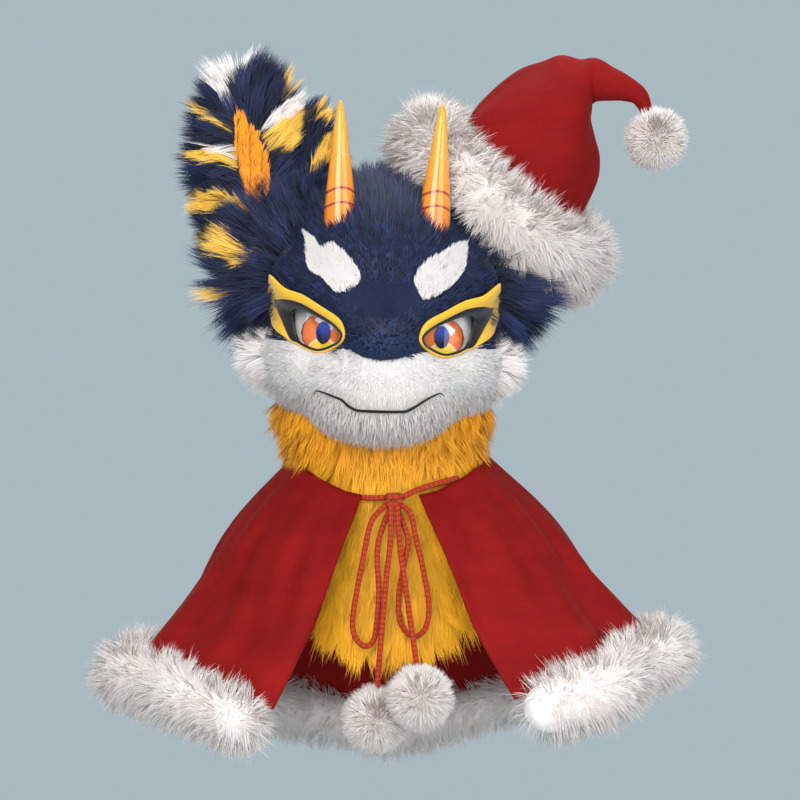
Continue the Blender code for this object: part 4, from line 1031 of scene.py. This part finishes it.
def trim(u, v):
    """A tube round the hem: u runs along it and v around its section. Its size follows sqrt(1 - a^2) at
    the ends, where a is the share of the last fortieth, and two waves along it."""
    path, out = trim_path(u)
    axial = (np.clip(1 - (1 - u) / 0.025, 0, 1) - np.clip(1 - u / 0.025, 0, 1))[..., None]
    ends = np.sqrt(np.clip(1 - axial ** 2, 0.01, 1))
    run = unit(trim_path(u + 0.004)[0] - trim_path(u - 0.004)[0])
    lift = unit(np.array((0.0, 0.0, 1.0)) - run * run[..., 2:])
    across = np.cross(run, lift)
    turn = TURN * v[..., None]
    size = TRIM_RADIUS * ends * (1 + 0.10 * np.sin(41 * u)[..., None] * np.sin(17 * u + 1)[..., None])
    radial = np.cos(turn) * across + np.sin(turn) * lift
    return path + size * radial, unit(ends * radial + axial * run), run


snow = lambda spot, root, outward, chance: WHITE * (1 - 0.10 * chance[:, None] * (1.0, 1.5, 1.7))
fluffy = lambda root, outward, run: 0.9 * outward + 0.25 * run * np.sin(root[:, :1] * 60) \
    - np.array((0, 0, 0.25))
SNOWY = dict(skin=plain(WHITE), width=0.0008, gather=0.20, lock=0.010, wild=0.30, stray=0.08, crisp=0.55,
             guard=0.10)
trim_piece = pelt("cape_trim_fur", ["cape_trim"], white_fur, trim, (160, 18), 46500, 0.0215, snow,
                  comb=fluffy, sag=0.25, seed=51, **SNOWY)

# %% [markdown]
# ## The Santa hat
# A velvet cone that slumps to one side, with a white fur band and a pompom at its thin tail. The cone
# is a tube along a bent path; where it bends, cloth gathers into creases, which are short waves
# across the tube that fade away from the bend.

# %% Hat cone
HAT_PATH = ((0.1221, 0.0475, 0.3120, 0.078, 0.066), (0.1371, 0.0425, 0.3300, 0.079, 0.066),
            (0.1520, 0.0380, 0.3560, 0.080, 0.066), (0.1680, 0.0350, 0.3900, 0.076, 0.063),
            (0.1860, 0.0340, 0.4215, 0.060, 0.052), (0.2060, 0.0340, 0.4430, 0.041, 0.039),
            (0.2290, 0.0340, 0.4530, 0.026, 0.027), (0.2560, 0.0340, 0.4485, 0.0175, 0.018),
            (0.2740, 0.0340, 0.4420, 0.0125, 0.013), (0.2835, 0.0340, 0.4350, 0.0100, 0.0095),
            (0.2910, 0.0340, 0.4200, 0.0065, 0.0070))
hat_form = tube(HAT_PATH, head=False)


def bell(u, middle, wide):
    """exp(-((u - middle) / wide)^2)"""
    return np.exp(-((u - middle) / wide) ** 2)


def hat(u, v):
    """The cone plus waves across it, each within a bell around its place."""
    point, outward, run = hat_form(u, v)
    turn = TURN * v
    crease = 0.0035 * np.sin(3 * turn + 9 * u) * bell(u, 0.42, 0.16)
    gather = 0.0022 * np.sin(62 * u + 2.0 * np.sin(turn)) * bell(u, 0.56, 0.10) \
        * (0.5 + 0.5 * np.cos(turn + 2.6))
    low = 0.0030 * np.sin(5 * turn + 1.3 + 4 * u) * bell(u, 0.25, 0.16)
    kink = -0.0045 * bell(u, 0.575 + 0.03 * np.sin(turn), 0.018) * (0.6 + 0.4 * np.sin(turn + 0.8))
    return point + (crease + gather + low + kink)[..., None] * outward, outward, run


hat_skin = backing(hat, 130, 72, plain(WHITE), inset=0.0)
build_mesh("hat_velvet", hat_skin["points"], hat_skin["faces"], velvet, ["hat"])
print("hat of", len(hat_skin["points"]), "points")

# %% [markdown]
# The band is a fur ring around the hat's mouth, and the pompoms are balls whose pile stands straight out.

# %% Band and pompoms
HAT_SIDE = np.array((0.770, 0.0, -0.640))
BAND_WIDE, BAND_DEEP, BAND_THICK, BAND_HIGH = 0.108, 0.096, 0.028, 0.036


def band(u, v):
    """A ring of elliptic section: u runs around the hat and v around the section, whose size waves by
    6 % with sin(5 turn + 1) * sin(3 turn)."""
    turn, around = TURN * u[..., None], TURN * v[..., None]
    front = np.cross(HAT_SIDE, HAT_AXIS)
    out = unit(np.cos(turn) * HAT_SIDE + np.sin(turn) * front)
    ring = HAT_RING + np.cos(turn) * HAT_SIDE * BAND_WIDE + np.sin(turn) * front * BAND_DEEP
    size = 1 + 0.06 * np.sin(5 * turn + 1) * np.sin(3 * turn)
    point = ring + size * (np.cos(around) * out * BAND_THICK + np.sin(around) * HAT_AXIS * BAND_HIGH)
    outward = unit(np.cos(around) * out * 0.031 + np.sin(around) * HAT_AXIS * 0.024)
    return point, outward, unit(np.cross(out, HAT_AXIS))


def band_keep(root, outward):
    """No strands more than 6 mm inside the head."""
    return head_field(unposed(root)) > -0.006


band_comb = lambda root, outward, run: 0.8 * outward + 0.35 * run * np.sin(root[:, 2:] * 45) \
    - np.array((0, 0, 0.30))
pelt("hat_band_fur", ["hat_band"], white_fur, band, (100, 20), 43000, 0.024, snow, comb=band_comb,
     keep=band_keep, sag=0.2, seed=61, **SNOWY)

POMPOMS = {"hat_pompom": (0.3008, 0.0340, 0.3890), "pompom_right": (-0.0095, -0.148, -0.236),
           "pompom_left": (0.0375, -0.182, -0.210)}
pompom_pieces = {name: pelt(f"{name}_fur", [name], white_fur, ball(middle, 0.025), (14, 20), 7500, 0.0155,
                            snow, skin=plain(WHITE), width=0.0009, gather=0.05, lock=0.006, wild=0.14,
                            stray=0.05, crisp=0.9, seed=71 + number)
                 for number, (name, middle) in enumerate(POMPOMS.items())}

# %% [markdown]
# ## Bow knot
# The knot is the same cord wound round itself: three flat turns side by side. Each turn is a closed
# loop of braid around the crossing point.

# %% Knot
KNOT_MIDDLE = np.array((0.0100, -0.1090, -0.0080))
# Lean, shift, half width and half depth of each turn
KNOT_TURNS = ((0.15, (0, 0, 0.0048), 0.0068, 0.0052), (-0.2, (0, 0, -0.0048), 0.0068, 0.0052),
              (0.9, (0.0, -0.0022, 0.0), 0.0060, 0.0062))


def knot_turn(lean, shift, wide, deep):
    """An oval loop of cord, wide * cos(a) sideways and deep * sin(a) back, leaned upwards by an angle."""
    a = np.linspace(0, TURN, 60)
    x, y = wide * np.cos(a), deep * np.sin(a)
    z = (math.tan(0.25) * x + y) * math.sin(lean)
    return KNOT_MIDDLE + shift + np.stack([x, y * math.cos(lean), z], axis=-1)


turns = [braided_tube(knot_turn(*turn), sides=12) for turn in KNOT_TURNS]
build_mesh("bow_knot_braid", np.vstack([turn[0] for turn in turns]),
           [block + number * len(turns[0][0]) for number, turn in enumerate(turns) for block in turn[1]],
           braid, ["bow_knot"],
           values={key: np.concatenate([turn[2][key] for turn in turns]) for key in ("run", "round")})
print("knot of", len(turns), "turns")

# %% [markdown]
# ## Horns
# Two cast horns, glossy like boiled sweets, with a step two thirds of the way up and two painted
# lines near the foot. A horn is a profile turned round a nearly upright axis. The lines are painted
# by a stored height that waves a little with the turn.

# %% Horns
HORN_PROFILE = ((-0.030, 0.0185), (0.0, 0.0180), (0.018, 0.0170), (0.036, 0.0154), (0.055, 0.0131),
                (0.0715, 0.0112), (0.0745, 0.0110), (0.0760, 0.0098), (0.078, 0.0098), (0.100, 0.0078),
                (0.122, 0.0046), (0.131, 0.0025), (0.134, 0.0006))
HORN_HEIGHT, HORN_STEPS, HORN_SIDES = 0.134, 70, 32
# Height, as a share of the horn's, and half width of the painted lines
HORN_LINES = ((0.150, 0.010), (0.268, 0.011))

resin = Finish("horn_resin", "horn_resin", Roughness=0.20, Specular_IOR_Level=0.6, Coat_Weight=0.6,
               Coat_Roughness=0.08)
high = resin.stored("high") + (resin.stored("turned") * 2 * TURN + 1.2).sine() * 0.018
cloud = resin.noise(0.012, 3.0)
colour = resin.mix(resin.stored("high") * 1.15 + cloud * 0.15, (0.80, 0.185, 0.003), (0.90, 0.36, 0.022))
for level, wide in HORN_LINES:
    colour = resin.mix(1 - (high - level).size().above(wide, 0.004), colour, (0.34, 0.028, 0.006))
resin.feed("Base Color", colour)
resin.feed("Roughness", cloud * 0.10 + 0.14)
resin.bump(resin.noise(0.008, 2.0), 0.0002)

heights, radii = np.array(HORN_PROFILE).T
rise = np.interp(np.linspace(0, 1, HORN_STEPS), np.linspace(0, 1, len(heights)), heights)
values = {"high": np.append(np.repeat(rise / HORN_HEIGHT, HORN_SIDES), (0, 1)),
          "turned": np.append(np.tile(np.arange(HORN_SIDES) / HORN_SIDES, HORN_STEPS), (0, 0))}
for label, side in SIDES:
    axis = unit(np.array((side * 0.005, 0.006, HORN_HEIGHT)))
    across = unit(np.cross(axis, (0, 1, 0)))[None]
    path = HORN_FEET[side] + rise[:, None] * axis
    points = round_path(path, across, np.cross(axis, across), np.interp(rise, heights, radii)[:, None, None],
                        HORN_SIDES)
    points[-1] += 0.0004 * axis
    build_mesh(f"horn_{label}_resin", posed(points), capped(HORN_STEPS, HORN_SIDES), resin,
               [f"horn_{label}"], values=values)
print("horns stand", round(rise[-1] * 1000), "mm above their feet")

# %% [markdown]
# ## Eyes
# Costume eyes are bowls set behind the face: a pale bowl with a printed iris, so that the gaze follows
# you. Around each lie two rings of felt, yellow below black, cut along three matched outlines. The eye
# layers keep their solids and get printed colours.

# %% Felt
# The felt in the head's own millimetres, matched row by row: its yellow edge, its black edge, the eye's
FELT_YELLOW = ((118, 228.5), (102, 215), (84, 207), (64.7, 195.4), (45, 182.6), (38, 168), (40.6, 157.6),
               (52, 149), (65.4, 145), (79, 148.8), (88.7, 153.6), (97.8, 157.6), (112.8, 169), (117.5, 185),
               (121.9, 206.7))
FELT_BLACK = ((111.6, 206.6), (100, 205.4), (83.7, 198.7), (67, 189.4), (50.5, 179.2), (39.4, 167.4),
              (41.2, 158), (52, 149.7), (65.5, 145.9), (79, 149.8), (88, 154.6), (95.7, 158.5),
              (104.5, 177.7), (108.3, 192.4), (111.5, 204.4))
EYE_EDGE = ((93.5, 192.5), (90.5, 195), (78, 190.8), (64.2, 184.6), (50.4, 176.5), (41.4, 166.6),
            (42.7, 159.5), (52.7, 151.8), (65.5, 148.1), (77.9, 152.2), (86, 156.7), (91, 162.5),
            (93.3, 174), (94, 181), (94.2, 187.5))
# Where the felt begins to rise at the side of the face, over what width, and by how much
SIDE_FROM, SIDE_OVER, OUT_AT_SIDE = 0.086, 0.016, 0.0036


def felt(name, colour, dark):
    """Matt cloth of fine fibres."""
    cloth = Finish(name, name, Roughness=0.9, Sheen_Weight=0.25, Specular_IOR_Level=0.15)
    fibre = cloth.noise(0.0012, 4.0)
    cloth.feed("Base Color", cloth.mix(fibre, dark, colour))
    cloth.bump(fibre, 0.0006)
    return cloth


def outline(table, side, count=150):
    """A closed smooth outline through the rows of a table, on one side of the face."""
    return read_rows(np.array(table + table[:1]) * (side, 1.0), np.arange(count) / count)


def felt_ring(name, outer, inner, low, thick, finish, node, deep=0.0):
    """Felt between two outlines, as a flat closed section carried round them. Its inner wall can reach
    back towards the bowl of the eye. Out at the side of the face it stands a little higher."""
    section = [(0.0, 0.0), (0.0, 0.7), (0.06, 1.0), (0.5, 1.0), (0.94, 1.0), (1.0, 0.7)]
    lines = []
    for share, rise in section:
        spot = on_face(outer + share * (inner - outer))
        aside = np.clip((np.abs(spot[:, :1]) - SIDE_FROM) / SIDE_OVER, 0, 1)
        lines.append(spot + outward_of_head(spot) * (low + rise * thick + OUT_AT_SIDE * aside))
    wall = on_face(inner + 0.9 * unit(inner - inner.mean(axis=0)))
    lines += [on_face(inner) + (0, deep, 0), wall + (0, deep, 0), wall]
    points = posed(np.stack(lines, axis=1))
    rings, wide = points.shape[:2]
    row, column = np.indices((rings, wide))
    quads = np.stack([((row + m) % rings * wide + (column + n) % wide).ravel()
                      for m, n in ((0, 0), (0, 1), (1, 1), (1, 0))], axis=-1)
    flat = points.reshape(-1, 3)
    first, second, third = (flat[quads[:, k]] - flat[0] for k in range(3))
    inside_out = (first * np.cross(second, third)).sum() <= 0
    build_mesh(name, flat, [quads[:, ::-1] if inside_out else quads], finish, [node])


yellow_felt = felt("yellow_felt", (0.92, 0.53, 0.035), (0.70, 0.36, 0.02))
black_felt = felt("black_felt", (0.014, 0.014, 0.016), (0.004, 0.004, 0.005))
for label, side in SIDES:
    yellow, black, eye = (outline(table, side) for table in (FELT_YELLOW, FELT_BLACK, EYE_EDGE))
    felt_ring(f"eye_yellow_{label}", yellow, (black + eye) / 2, 0.0008, 0.0026, yellow_felt,
              f"eye_outline_{label}")
    felt_ring(f"eye_black_{label}", black, eye, 0.0022, 0.0022, black_felt, f"eye_liner_{label}",
              deep=0.0115)
print("felt rings of", len(eye), "steps")

# %% [markdown]
# The iris is a disc of orange that darkens to its rim, with a yellow lower part and a bright highlight.
# Each is a mask of the distances x and z from the middle of the iris.

# %% Eye bowl, iris and pupil
IRIS = 0.022
eye_bowl = Finish("eye_bowl", Roughness=0.35, Specular_IOR_Level=0.4)
stripe = eye_bowl.noise(0.010, 2.0, eye_bowl.place((1.0, 1.0, 0.12)))
eye_bowl.feed("Base Color", eye_bowl.mix(stripe, (0.50, 0.47, 0.47), (0.86, 0.84, 0.85)))


def from_middle(finish, side):
    """Sideways and upward distance from the middle of an eye, as wires."""
    middle = posed(np.array((side * 0.064, -0.120, 0.168)))
    spot = finish.node("ShaderNodeTexCoord", out="Object")
    return [finish.node("ShaderNodeSeparateXYZ", {}, {0: spot}, out=k) - float(middle[k]) for k in (0, 2)]


for label, side in SIDES:
    eye_bowl.cover(f"eye_white_{label}")
    iris = Finish(f"iris_print_{label}", Roughness=0.28, Specular_IOR_Level=0.5, Coat_Weight=0.3)
    x, z = from_middle(iris, side)
    rim = (x * x + z * z) ** 0.5
    low = 0.0 - z - 0.5 * rim * rim / IRIS
    highlight = ((1 - (x * 0.55 + z * 0.83 - 0.0105).size().above(0.0036, 0.0010))
                 * (1 - (x * 0.83 - z * 0.55 + 0.0035).size().above(0.0105, 0.0010)))
    colour = iris.mix((rim / IRIS) ** 1.6, (0.86, 0.20, 0.03), (0.52, 0.055, 0.012))
    for mask, paint in ((iris.noise(0.0035, 4.0) * 0.5, (0.95, 0.32, 0.05)),
                        (low.above(0.0045, 0.0006), (0.95, 0.62, 0.42)),
                        (low.above(0.0058, 0.0008), (0.93, 0.60, 0.05)),
                        (rim.above(0.0212, 0.0008), (0.20, 0.02, 0.01)),
                        (highlight, (0.88, 0.86, 0.90))):
        colour = iris.mix(mask, colour, paint)
    iris.feed("Base Color", colour)
    iris.cover(f"iris_{label}")
    pupil = Finish(f"pupil_print_{label}", Roughness=0.2, Specular_IOR_Level=0.5, Coat_Weight=0.4)
    high = from_middle(pupil, side)[1]
    pupil.feed("Base Color", pupil.mix((high * 60 + 0.5).above(0.5, 0.5), (0.010, 0.012, 0.05),
                                       (0.035, 0.065, 0.42)))
    pupil.cover(f"pupil_{label}")
print("irises of", round(IRIS * 1000), "mm radius")

# %% [markdown]
# ## Mouth
# The mouth is a thin dark seam drawn into the white fur, a flat W with curled ends. A tapered tube
# follows the drawn line over the face's surface.

# %% Mouth line
MOUTH = ((-67, 103), (-64, 107), (-58, 106), (-49, 103), (-38, 99), (-31, 93), (-22, 89), (-10, 88.5),
         (4, 88.5), (18, 89), (27, 90), (36, 95), (46, 102), (55, 107), (61, 109), (65, 106))


def tapered_tube(path, radius, sides=10):
    """A tube whose radius follows sqrt(sin) of the way along, so its two ends are points."""
    side, lift = across_path(path)
    size = radius * np.sqrt(np.clip(np.sin(np.pi * np.linspace(0, 1, len(path))), 0.02, 1))
    return round_path(path, side, lift, size[:, None, None], sides), capped(len(path), sides)


mouth = on_face(read_rows(MOUTH, np.linspace(0, 1, 140)))
mouth = posed(mouth + outward_of_head(mouth) * 0.0042)
build_mesh("mouth_line", *tapered_tube(mouth, 0.0016), black_felt, ["mouth_seam"])
print("mouth line of", round(run_of(mouth)[-1] * 1000), "mm")

# %% [markdown]
# ## Foam
# The carved foam shows only from below, inside the neck: open-cell foam, dark and pitted.

# %% Foam finish
foam = Finish("carved_foam", Roughness=0.95, Specular_IOR_Level=0.1)
pores = foam.node("ShaderNodeTexVoronoi", {}, {"Scale": 420.0})
# Painted shade in the pores: the pits are painted darker than the foam between them.
foam.feed("Base Color", foam.mix(pores, (0.020, 0.020, 0.023), (0.075, 0.075, 0.080)))
foam.bump(pores, 0.0008)
foam.cover("head_foam")
print("foam on the head's carved base")

# %% [markdown]
# ## The tie ends' pompoms
# Each tie end is matched by name with the pompom that hangs from it.

# %% Tie ends and their pompoms
for name, (cord, path, length) in cord_pieces.items():
    pompoms = [pompom_pieces[name.replace("tie_end", "pompom")]] if "tie_end" in name else []
print("declared", len(cord_pieces), "cords and 1 sheet")

# %% [markdown]
# ## Stage
# A plain floor and a pale blue-grey world stand in for the studio. The key light is large, soft and
# left of the camera, a lower one lights the front, a weaker one fills from the right, and one from above
# lights the fur's tips.

# %% Floor, world and lights
world = bpy.data.worlds.new("studio")
scene.world = world
world.use_nodes = True
sky = world.node_tree.nodes["Background"].inputs
sky["Color"].default_value, sky["Strength"].default_value = (0.40, 0.485, 0.53, 1.0), 1.0

paint = Finish("floor_paint", Roughness=0.9, Base_Color=(0.42, 0.48, 0.51, 1.0))
FLOOR_HALF, FLOOR_Z = 6, -1.3
corners = np.array([(x * FLOOR_HALF, y * FLOOR_HALF, FLOOR_Z)
                    for x, y in ((-1, -1), (1, -1), (1, 1), (-1, 1))])
build_mesh("floor", corners, [[(0, 1, 2, 3)]], paint, ride=False)
for name, spot, size, power, colour in (("key", (-0.9, -2.7, 1.1), 1.8, 62, (1.0, 0.98, 0.95)),
                                        ("front", (0.3, -3.1, -0.1), 2.2, 34, (1.0, 0.99, 0.97)),
                                        ("fill", (1.7, -2.0, 0.5), 1.8, 28, (0.95, 0.98, 1.0)),
                                        ("top", (0.2, 0.3, 2.2), 1.6, 30, (1.0, 1.0, 1.0))):
    light = bpy.data.lights.new(name, "AREA")
    light.size, light.energy, light.color = size, power, colour
    lamp = bpy.data.objects.new(name, light)
    scene.collection.objects.link(lamp)
    lamp.location = spot
    aim = unit(np.array((0.0, 0.0, 0.1)) - np.array(spot))
    lamp.rotation_euler = (math.acos(-aim[2]), 0, math.atan2(aim[1], aim[0]) - math.pi / 2)
scene.view_settings.view_transform = "Standard"

# %% [markdown]
# ## Sizes
# The pieces made here and their triangles are counted and printed.

# %% Sizes, and the end
grown = [o for o in scene.objects if o.type == "MESH" and o.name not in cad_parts]
print("pieces", len(grown), "triangles", sum(len(o.data.loops) - 2 * len(o.data.polygons) for o in grown))
